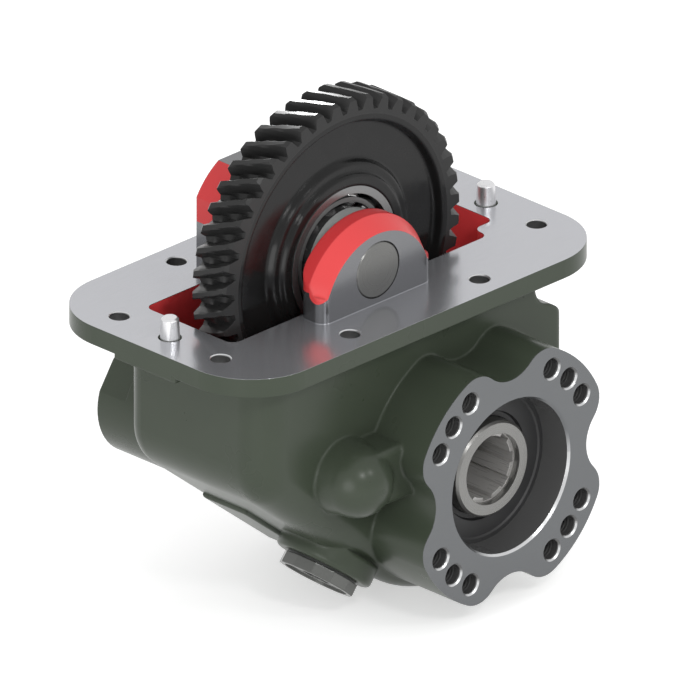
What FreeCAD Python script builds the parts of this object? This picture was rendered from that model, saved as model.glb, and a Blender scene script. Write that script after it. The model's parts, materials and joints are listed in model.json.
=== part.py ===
import FreeCAD, Part
import math
import os
import Sketcher

# Power take off unit: a helical idler gear carried between two ears of a cast housing,
# driving an output gear that a pneumatic dog clutch joins to a splined pump shaft.
# X runs along the mounting plate, Z is up out of its machined face, and the front,
# where the pump bolts on, faces -Y. Distances towards the front are called "front" or n.
# The origin is the centre of the mounting plate's machined top face.

DIMENSIONS = {
    # Mounting plate
    "plate_length": 255.0,
    "plate_width": 148.0,
    "plate_thickness": 10.0,
    "plate_corner": 37.0,
    "bolt_hole": 11.0,
    "dowel_hole_chamfer": 1.0,
    "end_bolt_reach": 110.0,
    "end_bolt_spread": 70.0,
    "side_bolt_reach": 60.0,
    "side_bolt_spread": 90.0,
    "dowel_diameter": 10.0,
    "dowel_tip": 8.8,
    "dowel_height": 11.0,
    "dowel_chamfer": 1.0,
    "dowel_boss_width": 42.0,
    "dowel_boss_length": 30.0,
    "dowel_boss_depth": 2.5,
    # Window in the plate
    "window_left": 94.0,
    "window_right": 98.5,
    "window_front": 27.5,
    "window_back": 33.5,
    "window_corner": 5.0,
    "window_depth": 58.0,
    "window_step_right": 84.0,
    "window_step_front": 17.0,
    # Cast body under the plate
    "body_left": 101.0,
    "body_front": 55.0,
    "body_back": 41.0,
    "front_edge": 17.0,
    "crisp_edge": 4.0,
    "crisp_width": 27.0,
    "knee_radius": 28.0,
    "back_edge": 12.0,
    "side_wall": 8.0,
    "front_wall": 15.0,
    "back_wall": 8.0,
    "case_radius": 72.0,
    "wall_slope": 39.0,
    "notch_reach": 88.7,
    "notch_back": 20.0,
    "notch_depth": 11.0,
    "notch_fillet": 12.0,
    "notch_turn": 75.0,
    "bolt_scallop": 9.5,
    "scallop_depth": 9.0,
    # Gear axes
    "gear_x": -10.0,
    "gear_z": 18.0,
    "shaft_x": 36.0,
    "shaft_z": -94.0,
    # Ears that carry the idler shaft
    "ear_half_width": 38.5,
    "ear_corner": 6.0,
    "near_ear_outer": 44.5,
    "near_rim_radius": 42.5,
    "near_rim_height": 1.0,
    "near_rim_width": 7.5,
    "near_bevel_radius": 36.5,
    "near_bevel_sweep": 142.0,
    "far_ear_half_width": 36.3,
    "far_ear_inner": 24.5,
    "far_ear_outer": 45.0,
    "far_rim_radius": 42.5,
    "far_ear_top": 55.0,
    "far_ear_root": 46.0,
    # Pump flange and its neck
    "flange_front": 91.0,
    "flange_lobe": 67.0,
    "flange_waist": 52.2,
    "lobe_corner": 15.0,
    "lobe_corner_angle": 27.0,
    "pump_square": 80.0,
    "pump_hole": 12.0,
    "pump_hole_depth": 27.0,
    "pilot_diameter": 80.2,
    "pilot_depth": 18.0,
    "pilot_chamfer": 1.2,
    "bearing_shoulder": 4.0,
    # Domed boss and web on the front wall, actuator on the back wall
    "shift_x": -45.0,
    "shift_z": -78.0,
    "dome_radius": 18.5,
    "dome_root_radius": 20.0,
    "dome_centre": 64.4,
    "web_front": 75.5,
    "web_top": -62.0,
    "web_bottom": -92.0,
    "web_edge": 3.5,
    "actuator_radius": 31.0,
    "actuator_back": 84.0,
    "actuator_flat": 29.8,
    "actuator_flat_length": 18.0,
    "actuator_flat_angle": 34.0,
    "actuator_bore": 48.0,
    "actuator_cap_bore": 52.0,
    "actuator_cap_depth": 8.0,
    # Closing plug in the sloping wall
    "plug_along": 24.0,
    "plug_front": 28.0,
    "plug_boss_diameter": 51.0,
    "plug_boss_height": 7.0,
    "plug_boss_edge": 2.5,
    "plug_collar_diameter": 40.0,
    "plug_collar_height": 6.0,
    "plug_collar_sides": 12.0,
    "plug_rim": 3.2,
    "plug_dish": 1.0,
    "plug_thread": 27.0,
    "plug_length": 14.0,
    "plug_socket": 14.0,
    "plug_socket_depth": 9.0,
    "washer_thickness": 1.2,
    "washer_inset": 1.5,
    # Cast pad on the sloping wall
    "pad_length": 60.0,
    "pad_width": 30.0,
    "pad_height": 2.0,
    "pad_edge": 1.5,
    "pad_start": 2.0,
    # Gear train
    "idler_teeth": 44.0,
    "output_teeth": 23.0,
    "pressure_angle": 20.0,
    "helix_angle": 23.0,
    "backlash": 0.36,
    "idler_addendum": 3.24,
    "output_addendum": 3.24,
    "dedendum": 4.3,
    "face_front": 20.1,
    "face_width": 23.3,
    "tooth_chamfer": 1.6,
    "tooth_margin": 0.7,
    "gear_turn": 3.15,
    # Idler gear blank
    "idler_rim_inner": 70.0,
    "idler_web_front": 15.6,
    "idler_web_back": 2.0,
    "idler_hub_radius": 49.0,
    "idler_nose_radius": 41.5,
    "idler_hub_front": 21.0,
    "idler_hub_length": 39.5,
    "hub_step": 2.2,
    # Idler shaft and its two ball bearings
    "idler_shaft_diameter": 30.0,
    "idler_shaft_chamfer": 1.0,
    "idler_bearing_outer": 72.0,
    "idler_bearing_width": 19.0,
    "outer_ring_wall": 4.0,
    "inner_ring_wall": 9.3,
    "ball_diameter": 11.0,
    "ball_count": 11.0,
    "cage_wall": 2.4,
    "cage_width": 14.0,
    "thrust_ring_diameter": 50.0,
    # Output shaft
    "shaft_front": 78.4,
    "shaft_diameter": 50.0,
    "shaft_collar_diameter": 60.0,
    "shaft_collar_back": 24.0,
    "gear_journal_diameter": 40.0,
    "hub_seat_diameter": 38.0,
    "rear_journal_diameter": 35.0,
    "shaft_back": 56.0,
    "spline_count": 8.0,
    "spline_minor": 32.0,
    "spline_major": 36.0,
    "spline_tooth": 6.0,
    "spline_depth": 46.0,
    "lead_in_diameter": 37.0,
    "lead_in_depth": 4.0,
    "shaft_chamfer": 1.2,
    # Output bearings and seal
    "front_bearing_outer": 80.0,
    "front_bearing_width": 16.0,
    "front_bearing_wall": 4.4,
    "rear_bearing_outer": 72.0,
    "rear_bearing_width": 17.0,
    "rear_bearing_wall": 5.0,
    "roller_count": 14.0,
    "front_roller_diameter": 6.0,
    "rear_roller_diameter": 8.2,
    "roller_cage_wall": 1.4,
    "roller_share": 0.6,
    "roller_cage_share": 0.8,
    "circlip_thickness": 1.6,
    "circlip_width": 3.2,
    "seal_width": 9.5,
    "seal_wall": 2.2,
    "seal_step": 0.8,
    "seal_web": 2.2,
    "seal_lip_depth": 2.4,
    # Dog clutch
    "clutch_teeth": 16.0,
    "clutch_major": 60.0,
    "clutch_minor": 54.0,
    "clutch_tooth": 5.4,
    "clutch_clearance": 0.25,
    "clutch_hub_front": -9.8,
    "clutch_hub_length": 18.0,
    "dog_length": 6.0,
    "sleeve_diameter": 80.0,
    "sleeve_front": -12.0,
    "sleeve_length": 14.0,
    "sleeve_groove": 6.0,
    "groove_wall": 2.5,
    "sleeve_groove_diameter": 71.0,
    "bush_wall": 3.0,
    "thrust_washer": 3.0,
    "washer_wall": 8.0,
    "spacer_wall": 5.0,
    # Shifting gear
    "fork_thickness": 5.4,
    "fork_outer": 47.0,
    "fork_gap": 0.5,
    "fork_boss": 15.0,
    "fork_boss_length": 12.0,
    "fork_arm_low": 21.0,
    "fork_arm_high": 23.5,
    "fork_foot_low": 12.0,
    "fork_foot_high": 13.5,
    "rod_diameter": 18.0,
    "rod_front": 56.0,
    "piston_length": 10.0,
    "piston_back": 75.0,
    "piston_groove": 3.0,
    "fork_pin_diameter": 5.0,
    "fork_pin_inset": 1.0,
    "spring_radius": 14.5,
    "spring_wire": 2.6,
    "spring_turns": 3.0,
    "air_port": 10.0,
    "cap_inset": 0.4,
    # Rear cover
    "cover_diameter": 96.0,
    "cover_thickness": 7.0,
    "cover_dome_diameter": 66.0,
    "cover_dome_height": 6.0,
    "cover_wall": 5.0,
    "rear_boss_back": 50.0,
    "gasket_thickness": 0.8,
    "cover_screws": 6.0,
    "cover_screw_circle": 85.0,
    "cover_screw": 6.0,
    "screw_head": 10.0,
    "screw_head_height": 6.0,
    "screw_length": 18.0,
    # Clearances
    "running_clearance": 0.05,
    "open_clearance": 0.35,
    # How far blocks reach into each other, and how far cuts run past the faces they open
    "overlap": 2.0,
    "cut_beyond": 1.0,
}

# Heights on a tooth flank, as shares of it, between which the flank runs straight
FLANK_SHARES = (0.0, 0.35, 0.7, 1.0)

# Straight slices along a helical tooth
HELIX_SLICES = 4

# Places of the three pump holes in a group, in degrees from the diagonal
PUMP_HOLE_STEPS = (-15, 0, 15)

SHEET = "Sizes"


class Size:
    """A value together with the sheet expression that gives it."""

    def __init__(self, value, text=None):
        self.value = float(value)
        self.text = repr(float(value)) if text is None else text

    def joined(self, sign, other, value):
        return Size(value, "(" + self.text + " " + sign + " " + as_size(other).text + ")")

    def __add__(self, other):
        return self.joined("+", other, self.value + as_size(other).value)

    def __radd__(self, other):
        return as_size(other) + self

    def __sub__(self, other):
        return self.joined("-", other, self.value - as_size(other).value)

    def __rsub__(self, other):
        return as_size(other) - self

    def __mul__(self, other):
        return self.joined("*", other, self.value * as_size(other).value)

    def __rmul__(self, other):
        return as_size(other) * self

    def __truediv__(self, other):
        return self.joined("/", other, self.value / as_size(other).value)

    def __neg__(self):
        return as_size(0) - self


def as_size(value):
    return value if isinstance(value, Size) else Size(value)


def sine(angle):
    return Size(math.sin(math.radians(angle.value)), "sin(" + angle.text + ")")


def cosine(angle):
    return Size(math.cos(math.radians(angle.value)), "cos(" + angle.text + ")")


def root(number):
    return Size(math.sqrt(number.value), "sqrt(" + number.text + ")")


class Sheet:
    """The driving dimensions, written to the document's sheet and read back by name."""

    def __init__(self, doc, dimensions):
        self.cells = doc.addObject("Spreadsheet::Sheet", SHEET)
        for row, name in enumerate(dimensions, start=1):
            self.cells.set("A" + str(row), name)
            self.cells.set("B" + str(row), str(dimensions[name]))
            self.cells.setAlias("B" + str(row), name)
        doc.recompute()

    def __getattr__(self, name):
        return Size(self.cells.get(name), SHEET + "." + name)


doc = FreeCAD.newDocument("PowerTakeOff")
dim = Sheet(doc, DIMENSIONS)

# Values that several pieces share
centre_distance = root(
    (dim.shaft_x - dim.gear_x) * (dim.shaft_x - dim.gear_x)
    + (dim.shaft_z - dim.gear_z) * (dim.shaft_z - dim.gear_z)
)
idler_pitch_radius = centre_distance * dim.idler_teeth / (dim.idler_teeth + dim.output_teeth)
output_pitch_radius = centre_distance - idler_pitch_radius
idler_tip_radius = idler_pitch_radius + dim.idler_addendum
output_tip_radius = output_pitch_radius + dim.output_addendum
face_back = dim.face_front - dim.face_width
idler_hub_back = dim.idler_hub_front - dim.idler_hub_length
front_bearing_back = dim.body_front - dim.front_wall + dim.bearing_shoulder
front_bearing_front = front_bearing_back + dim.front_bearing_width
rear_bearing_back = -dim.rear_boss_back
rear_bearing_front = rear_bearing_back + dim.rear_bearing_width
clutch_hub_back = dim.clutch_hub_front - dim.clutch_hub_length
sleeve_back = dim.sleeve_front - dim.sleeve_length
groove_back = sleeve_back + dim.groove_wall
groove_front = groove_back + dim.sleeve_groove
fork_middle = groove_front - dim.sleeve_groove / 2
piston_front = dim.piston_length - dim.piston_back
cap_inner = dim.actuator_cap_depth - dim.actuator_back
actuator_floor = -(dim.body_back + dim.open_clearance)


# Document helpers


def bind(item, path, size):
    item.setExpression(path, as_size(size).text)


def new_body(label):
    body = doc.addObject("PartDesign::Body", label)
    body.Label = label
    return body


def origin_part(body, role):
    return next(item for item in body.Origin.OriginFeatures if item.Role == role)


def new_sketch(body, plane, offset=0, name="profile"):
    """Sketch on an origin plane; on the XZ plane the offset counts towards the front."""
    sketch = body.newObject("Sketcher::SketchObject", name)
    sketch.AttachmentSupport = [(origin_part(body, plane), "")]
    sketch.MapMode = "FlatFace"
    bind(sketch, "AttachmentOffset.Base.z", offset)
    return sketch


def lock_point(sketch, item, end, x, y):
    """Hold one point of the sketch at bound coordinates."""
    for kind, size in (("DistanceX", x), ("DistanceY", y)):
        size = as_size(size)
        number = sketch.addConstraint(Sketcher.Constraint(kind, item, end, size.value))
        bind(sketch, "Constraints[" + str(number) + "]", size)


def lock_radius(sketch, item, radius):
    radius = as_size(radius)
    number = sketch.addConstraint(Sketcher.Constraint("Radius", item, radius.value))
    bind(sketch, "Constraints[" + str(number) + "]", radius)


def add_circle(sketch, x, y, radius):
    x, y, radius = as_size(x), as_size(y), as_size(radius)
    centre = FreeCAD.Vector(x.value, y.value, 0)
    circle = Part.Circle(centre, FreeCAD.Vector(0, 0, 1), radius.value)
    item = sketch.addGeometry(circle)
    lock_point(sketch, item, 3, x, y)
    lock_radius(sketch, item, radius)


def minor_arc(start, end, radius, anticlockwise):
    """Arc under half a turn from start to end."""
    chord = end - start
    rise = math.sqrt(max(radius ** 2 - (chord.Length / 2) ** 2, 0))
    side = FreeCAD.Vector(-chord.y, chord.x, 0).normalize() * (rise if anticlockwise else -rise)
    centre = (start + end) / 2 + side
    first, last = (start, end) if anticlockwise else (end, start)
    from_angle = math.atan2(first.y - centre.y, first.x - centre.x)
    to_angle = math.atan2(last.y - centre.y, last.x - centre.x)
    circle = Part.Circle(centre, FreeCAD.Vector(0, 0, 1), radius)
    return Part.ArcOfCircle(circle, from_angle, to_angle)


def add_outline(sketch, corners):
    """Closed outline. A corner is (x, y), or (x, y, radius) when an arc runs from it to the
    next corner: anticlockwise for a radius, clockwise for one marked by a fourth item."""
    points = [FreeCAD.Vector(as_size(c[0]).value, as_size(c[1]).value, 0) for c in corners]
    ends = []
    for index, corner in enumerate(corners):
        start, end = points[index], points[(index + 1) % len(points)]
        if len(corner) == 2:
            item = sketch.addGeometry(Part.LineSegment(start, end))
            ends.append((item, 1, 2))
        else:
            turn = len(corner) == 3
            item = sketch.addGeometry(minor_arc(start, end, as_size(corner[2]).value, turn))
            ends.append((item, 1, 2) if turn else (item, 2, 1))
            lock_radius(sketch, item, corner[2])
    for index, (item, first, last) in enumerate(ends):
        following = ends[(index + 1) % len(ends)]
        sketch.addConstraint(Sketcher.Constraint("Coincident", item, last, following[0], following[1]))
        lock_point(sketch, item, first, corners[index][0], corners[index][1])


def rectangle(left, bottom, right, top):
    return [(left, bottom), (right, bottom), (right, top), (left, top)]


def pad(body, sketch, length):
    feature = body.newObject("PartDesign::Pad", "pad")
    feature.Profile = sketch
    bind(feature, "Length", length)
    return feature


def pocket(body, sketch, length):
    feature = body.newObject("PartDesign::Pocket", "pocket")
    feature.Profile = sketch
    bind(feature, "Length", length)
    return feature


def block(body, plane, start, end, corners):
    """Solid between two distances from a plane, over a closed outline."""
    sketch = new_sketch(body, plane, start)
    add_outline(sketch, corners)
    return pad(body, sketch, end - start)


def hollow(body, plane, start, end, corners):
    """Cut between two distances from a plane, over a closed outline."""
    sketch = new_sketch(body, plane, end)
    add_outline(sketch, corners)
    return pocket(body, sketch, end - start)


def drum(body, start, end, x, z, radius):
    """Round bar along the front direction."""
    sketch = new_sketch(body, "XZ_Plane", start)
    add_circle(sketch, x, z, radius)
    return pad(body, sketch, end - start)


def drill(body, start, end, places, radius):
    """Round holes along the front direction."""
    sketch = new_sketch(body, "XZ_Plane", end)
    for x, z in places:
        add_circle(sketch, x, z, radius)
    return pocket(body, sketch, end - start)


def drill_down(body, top, depth, places, radius):
    """Round holes along Z from a height downwards."""
    sketch = new_sketch(body, "XY_Plane", top)
    for x, y in places:
        add_circle(sketch, x, y, radius)
    return pocket(body, sketch, depth)


def revolve(body, profile, kind="PartDesign::Revolution"):
    """Turn a profile of (radius, front) corners about the body's own Y axis."""
    sketch = new_sketch(body, "XY_Plane")
    add_outline(sketch, [(c[0], -as_size(c[1])) + tuple(c[2:]) for c in profile])
    feature = body.newObject(kind, "turned")
    feature.Profile = sketch
    feature.ReferenceAxis = (sketch, ["V_Axis"])
    feature.Angle = 360
    return feature


def turned(label, profile, x, z):
    """Turned piece whose axis runs along Y through (x, z)."""
    body = new_body(label)
    revolve(body, profile)
    set_axis(body, x, z)
    return body


def set_axis(item, x, z):
    bind(item, "Placement.Base.x", x)
    bind(item, "Placement.Base.z", z)


def ring(inner, outer, back, front):
    return [(inner, back), (outer, back), (outer, front), (inner, front)]


def repeat_round(body, feature, count):
    """Repeat a feature about the body's own Y axis."""
    pattern = body.newObject("PartDesign::PolarPattern", "pattern")
    pattern.Originals = [feature]
    pattern.Axis = (origin_part(body, "Y_Axis"), [""])
    pattern.Angle = 360
    bind(pattern, "Occurrences", count)
    body.Tip = pattern
    return pattern


def edges_where(feature, wanted):
    """Names of the feature's edges that the test accepts."""
    doc.recompute()
    return ["Edge" + str(number) for number, edge in enumerate(feature.Shape.Edges, start=1) if wanted(edge)]


def dress_edges(body, kind, measure, wanted, size):
    """Dress the edges of the body's last feature that the test accepts."""
    base = body.Tip
    names = edges_where(base, wanted)
    feature = body.newObject(kind, "edge")
    feature.Base = (base, names)
    bind(feature, measure, size)
    return feature


def round_edges(body, wanted, radius):
    return dress_edges(body, "PartDesign::Fillet", "Radius", wanted, radius)


def chamfer_edges(body, wanted, size):
    return dress_edges(body, "PartDesign::Chamfer", "Size", wanted, size)


def lies_at(edge, y):
    """True for an edge in the plane at a place along Y."""
    return abs(edge.BoundBox.YMin - y) < 0.01 and abs(edge.BoundBox.YMax - y) < 0.01


def lies_level(edge, z):
    """True for an edge in the level plane at a height."""
    return abs(edge.BoundBox.ZMin - z) < 0.01 and abs(edge.BoundBox.ZMax - z) < 0.01


def is_round(edge, radius):
    """True for a closed edge as long as a circle of the radius."""
    return edge.isClosed() and abs(edge.Length - 2 * math.pi * radius.value) < 0.01


# Housing: one casting


def slope_point(distance, along, from_axis=0):
    """Point in (x, z) at a distance out from the output axis square to the sloping wall,
    and at a distance along the wall, counted towards the lower right."""
    out_x, out_z = -sine(dim.wall_slope), -cosine(dim.wall_slope)
    x = dim.shaft_x + as_size(distance) * out_x + as_size(along) * cosine(dim.wall_slope)
    z = dim.shaft_z + as_size(distance) * out_z - as_size(along) * sine(dim.wall_slope)
    return x, z


def case_section(left, case, knee, top):
    """Outline of the cast body in (x, z): upright left wall, rounded knee, sloping wall, round
    gear case and upright right wall. left is the left wall's distance from the centre."""
    foot_x, foot_z = slope_point(case, 0)
    run = (-left - foot_x) / cosine(dim.wall_slope)
    knee_z = foot_z - run * sine(dim.wall_slope)
    half_bend = (90 - dim.wall_slope) / 2
    tangent = knee * sine(half_bend) / cosine(half_bend)
    right = dim.shaft_x + case
    return [
        (-left, top),
        (-left, knee_z + tangent, knee),
        (-left + tangent * cosine(dim.wall_slope), knee_z - tangent * sine(dim.wall_slope)),
        (foot_x, foot_z, case),
        (dim.shaft_x, dim.shaft_z - case, case),
        (right, dim.shaft_z),
        (right, top),
    ]


def lobed_outline(lobe, waist):
    """Four-lobed pump flange about the output axis: lobe arcs on the diagonals, hollow waist
    arcs on the axes, joined by rounded corners."""
    corner = dim.lobe_corner
    corner_x = (lobe - corner) * cosine(dim.lobe_corner_angle)
    corner_z = (lobe - corner) * sine(dim.lobe_corner_angle)
    reach = waist - corner_x
    hollow_radius = (reach * reach + corner_z * corner_z - corner * corner) / (2 * (corner - reach))
    span = hollow_radius + corner
    touch_x = corner_x + (waist + hollow_radius - corner_x) * corner / span
    touch_z = corner_z - corner_z * corner / span
    tip_x = lobe * cosine(dim.lobe_corner_angle)
    tip_z = lobe * sine(dim.lobe_corner_angle)
    quarter = [
        (touch_x, touch_z, corner),
        (tip_x, tip_z, lobe),
        (tip_z, tip_x, corner),
        (touch_z, touch_x, hollow_radius, "hollow"),
    ]
    corners = []
    turn_x, turn_z = (1, 0), (0, 1)
    for step in range(4):
        for item in quarter:
            x = dim.shaft_x + item[0] * turn_x[0] + item[1] * turn_x[1]
            z = dim.shaft_z + item[0] * turn_z[0] + item[1] * turn_z[1]
            corners.append((x, z) + tuple(item[2:]))
        turn_x, turn_z = (-turn_z[0], -turn_z[1]), turn_x
    return corners


def bolt_places():
    """Centres of the eight mounting holes in (x, y)."""
    corners = [(side, way) for side in (-1, 1) for way in (-1, 1)]
    ends = [(dim.end_bolt_reach * side, dim.end_bolt_spread / 2 * way) for side, way in corners]
    sides = [(dim.side_bolt_spread / 2 * side, dim.side_bolt_reach * way) for side, way in corners]
    return ends + sides


def dowel_places():
    return [(-dim.end_bolt_reach, as_size(0)), (dim.end_bolt_reach, as_size(0))]


def pump_hole_places():
    """Twelve tapped holes in (x, z): four groups of three, so that the pump can be turned."""
    circle = dim.pump_square / 2 * root(as_size(2))
    places = []
    for quarter in range(4):
        for step in PUMP_HOLE_STEPS:
            angle = as_size(45 + 90 * quarter + step)
            places.append((dim.shaft_x + circle * cosine(angle), dim.shaft_z + circle * sine(angle)))
    return places


def tilted_sketch(body, distance, along, front):
    """Sketch square to the sloping wall, at a place on it."""
    sketch = new_sketch(body, "XY_Plane")
    x, z = slope_point(distance, along)
    bind(sketch, "AttachmentOffset.Base.x", x)
    bind(sketch, "AttachmentOffset.Base.y", -as_size(front))
    bind(sketch, "AttachmentOffset.Base.z", z)
    sketch.AttachmentOffset = FreeCAD.Placement(
        sketch.AttachmentOffset.Base, FreeCAD.Rotation(FreeCAD.Vector(0, 1, 0), 1)
    )
    bind(sketch, "AttachmentOffset.Rotation.Angle", dim.wall_slope + 180)
    return sketch


def build_case(body):
    """Outer walls under the plate: soft edges front and back, crisp down the front's right."""
    top = -dim.plate_thickness / 2
    block(body, "XZ_Plane", -dim.body_back, dim.body_front,
          case_section(dim.body_left, dim.case_radius, dim.knee_radius, top))
    front, back, low = -dim.body_front.value, dim.body_back.value, top.value - 1
    for y, radius in ((front, dim.front_edge), (back, dim.back_edge)):
        round_edges(body, lambda edge, y=y: lies_at(edge, y) and edge.BoundBox.ZMin < low, radius)
    case, inset = dim.case_radius, dim.case_radius - dim.crisp_width
    right, start = dim.shaft_x + case, dim.shaft_x + inset
    block(body, "XZ_Plane", dim.body_front - dim.front_edge, dim.body_front, [
        (start, dim.shaft_z - root(case * case - inset * inset), case),
        (right, dim.shaft_z),
        (right, top),
        (start, top),
    ])
    limit = right.value - 0.01
    round_edges(body, lambda edge: lies_at(edge, front) and edge.BoundBox.ZMin < low
                and edge.BoundBox.XMax > limit, dim.crisp_edge)


def build_plate(body):
    """Mounting plate with rounded corners and thicker pads under the dowels."""
    half_length, half_width = dim.plate_length / 2, dim.plate_width / 2
    corner = dim.plate_corner
    block(body, "XY_Plane", -dim.plate_thickness, as_size(0), [
        (-half_length + corner, -half_width),
        (half_length - corner, -half_width, corner),
        (half_length, -half_width + corner),
        (half_length, half_width - corner, corner),
        (half_length - corner, half_width),
        (-half_length + corner, half_width, corner),
        (-half_length, half_width - corner),
        (-half_length, -half_width + corner, corner),
    ])
    for side in (-1, 1):
        outer = half_length * side
        inner = outer - dim.dowel_boss_length * side
        low, high = (outer, inner) if side < 0 else (inner, outer)
        block(body, "XY_Plane", -(dim.plate_thickness + dim.dowel_boss_depth), -dim.plate_thickness / 2,
              rectangle(low, -dim.dowel_boss_width / 2, high, dim.dowel_boss_width / 2))


def build_neck(body):
    """Lobed neck and pump flange, the domed boss beside it and the web between them."""
    block(body, "XZ_Plane", dim.body_front - dim.front_edge, dim.flange_front,
          lobed_outline(dim.flange_lobe, dim.flange_waist))
    sketch = new_sketch(body, "XY_Plane", dim.shift_z)
    axis, radius, foot = dim.shift_x, dim.dome_radius, dim.body_front - dim.front_edge
    add_outline(sketch, [
        (axis, -foot),
        (axis, -(dim.dome_centre + radius), radius),
        (axis + radius, -dim.dome_centre),
        (axis + dim.dome_root_radius, -dim.body_front),
        (axis + dim.dome_root_radius, -foot),
    ])
    sketch.addGeometry(
        Part.LineSegment(
            FreeCAD.Vector(axis.value, -foot.value, 0),
            FreeCAD.Vector(axis.value, -dim.body_front.value, 0),
        ),
        True,
    )
    line = len(sketch.Geometry) - 1
    lock_point(sketch, line, 1, axis, -foot)
    lock_point(sketch, line, 2, axis, -dim.body_front)
    dome = body.newObject("PartDesign::Revolution", "dome")
    dome.Profile = sketch
    dome.ReferenceAxis = (sketch, ["Axis0"])
    dome.Angle = 360
    top, bottom, front, edge = dim.web_top, dim.web_bottom, -dim.web_front, dim.web_edge
    block(body, "YZ_Plane", dim.shift_x, dim.shaft_x - dim.flange_waist + dim.overlap, [
        (-foot, top),
        (front + edge, top, edge),
        (front, top - edge),
        (front, bottom + edge, edge),
        (front + edge, bottom),
        (-foot, bottom),
    ])


def build_back(body):
    """Rear bearing boss and the shift actuator's cylinder."""
    drum(body, -dim.rear_boss_back, -dim.body_back + dim.back_wall / 2,
         dim.shaft_x, dim.shaft_z, dim.cover_diameter / 2)
    drum(body, -dim.actuator_back, -dim.body_back + dim.back_wall / 2,
         dim.shift_x, dim.shift_z, dim.actuator_radius)
    out_x, out_z = -cosine(dim.actuator_flat_angle), sine(dim.actuator_flat_angle)
    near, far = dim.actuator_flat, dim.actuator_radius + dim.cut_beyond
    half = dim.actuator_radius / 2
    hollow(body, "XZ_Plane", -dim.actuator_back, -dim.actuator_back + dim.actuator_flat_length, [
        (dim.shift_x + out_x * near - out_z * half, dim.shift_z + out_z * near + out_x * half),
        (dim.shift_x + out_x * near + out_z * half, dim.shift_z + out_z * near - out_x * half),
        (dim.shift_x + out_x * far + out_z * half, dim.shift_z + out_z * far - out_x * half),
        (dim.shift_x + out_x * far - out_z * half, dim.shift_z + out_z * far + out_x * half),
    ])


def build_ears(body):
    """Near ear with its bevelled rim and far ear with its flat top."""
    left, right = dim.gear_x - dim.ear_half_width, dim.gear_x + dim.ear_half_width
    radius, half, corner = dim.near_rim_radius, dim.ear_half_width, dim.ear_corner
    shoulder = dim.near_rim_height + root(radius * radius - half * half)
    top = dim.near_rim_height + radius
    foot = -dim.plate_thickness + dim.overlap
    back, front = -dim.window_front, -dim.near_ear_outer
    block(body, "XY_Plane", foot, top, [
        (left + corner, front),
        (right - corner, front, corner),
        (right, front + corner),
        (right, back - corner, corner),
        (right - corner, back),
        (left + corner, back, corner),
        (left, back - corner),
        (left, front + corner, corner),
    ])
    past = dim.cut_beyond
    hollow(body, "XZ_Plane", dim.window_front - past, dim.near_ear_outer + past, [
        (left - past, shoulder),
        (left, shoulder, radius, "down"),
        (dim.gear_x, top, radius, "down"),
        (right, shoulder),
        (right + past, shoulder),
        (right + past, top + past),
        (left - past, top + past),
    ])
    bevel_near_ear(body)
    radius, half = dim.far_rim_radius, dim.far_ear_half_width
    left, right = dim.gear_x - half, dim.gear_x + half
    shoulder = dim.gear_z + root(radius * radius - half * half)
    rise = dim.far_ear_top - dim.gear_z
    reach = root(radius * radius - rise * rise)
    block(body, "XZ_Plane", -dim.far_ear_outer, -dim.far_ear_inner, [
        (left, foot),
        (right, foot),
        (right, shoulder, radius),
        (dim.gear_x + reach, dim.far_ear_top),
        (dim.gear_x - reach, dim.far_ear_top, radius),
        (left, shoulder),
    ])
    block(body, "XZ_Plane", -(dim.window_back + dim.back_wall / 2), -dim.far_ear_inner,
          rectangle(left, -dim.far_ear_root, right, foot + dim.cut_beyond))


def bevel_near_ear(body):
    """Bevel the near ear's rim all round the top."""
    sketch = body.newObject("Sketcher::SketchObject", "bevel")
    sketch.AttachmentSupport = [(origin_part(body, "YZ_Plane"), "")]
    sketch.MapMode = "FlatFace"
    bind(sketch, "AttachmentOffset.Base.z", dim.gear_x)
    start = dim.window_front + dim.near_rim_width
    beyond = dim.near_rim_radius + dim.near_ear_outer - dim.window_front
    centre, past = dim.near_rim_height, dim.near_ear_outer + dim.cut_beyond
    add_outline(sketch, [
        (-start, centre + dim.near_rim_radius),
        (-start, centre + beyond),
        (-past, centre + beyond),
        (-past, centre + dim.near_bevel_radius),
        (-dim.near_ear_outer, centre + dim.near_bevel_radius),
    ])
    front = -dim.near_ear_outer
    line = sketch.addGeometry(
        Part.LineSegment(FreeCAD.Vector(front.value, centre.value, 0),
                         FreeCAD.Vector(front.value + 5, centre.value, 0)),
        True,
    )
    lock_point(sketch, line, 1, front, centre)
    lock_point(sketch, line, 2, front + 5, centre)
    cut = body.newObject("PartDesign::Groove", "bevel_cut")
    cut.Profile = sketch
    cut.ReferenceAxis = (sketch, ["Axis0"])
    cut.Midplane = True
    bind(cut, "Angle", dim.near_bevel_sweep)


def cut_inside(body):
    """Window and gear chamber."""
    left, right = -dim.window_left, dim.window_right
    front, back = -dim.window_front, dim.window_back
    step_x, step_y = dim.window_step_right, -dim.window_step_front
    corner = dim.window_corner
    hollow(body, "XY_Plane", -dim.window_depth, as_size(0), [
        (left + corner, front),
        (step_x - corner, front, corner),
        (step_x, front + corner),
        (step_x, step_y - corner, corner, "hollow"),
        (step_x + corner, step_y),
        (right - corner, step_y, corner),
        (right, step_y + corner),
        (right, back - corner, corner),
        (right - corner, back),
        (left + corner, back, corner),
        (left, back - corner),
        (left, front + corner, corner),
    ])
    wall = dim.side_wall
    hollow(body, "XZ_Plane", -(dim.body_back - dim.back_wall), dim.body_front - dim.front_wall,
           case_section(dim.body_left - wall, dim.case_radius - wall, dim.knee_radius - wall,
                        -dim.window_depth + dim.overlap))


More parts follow.
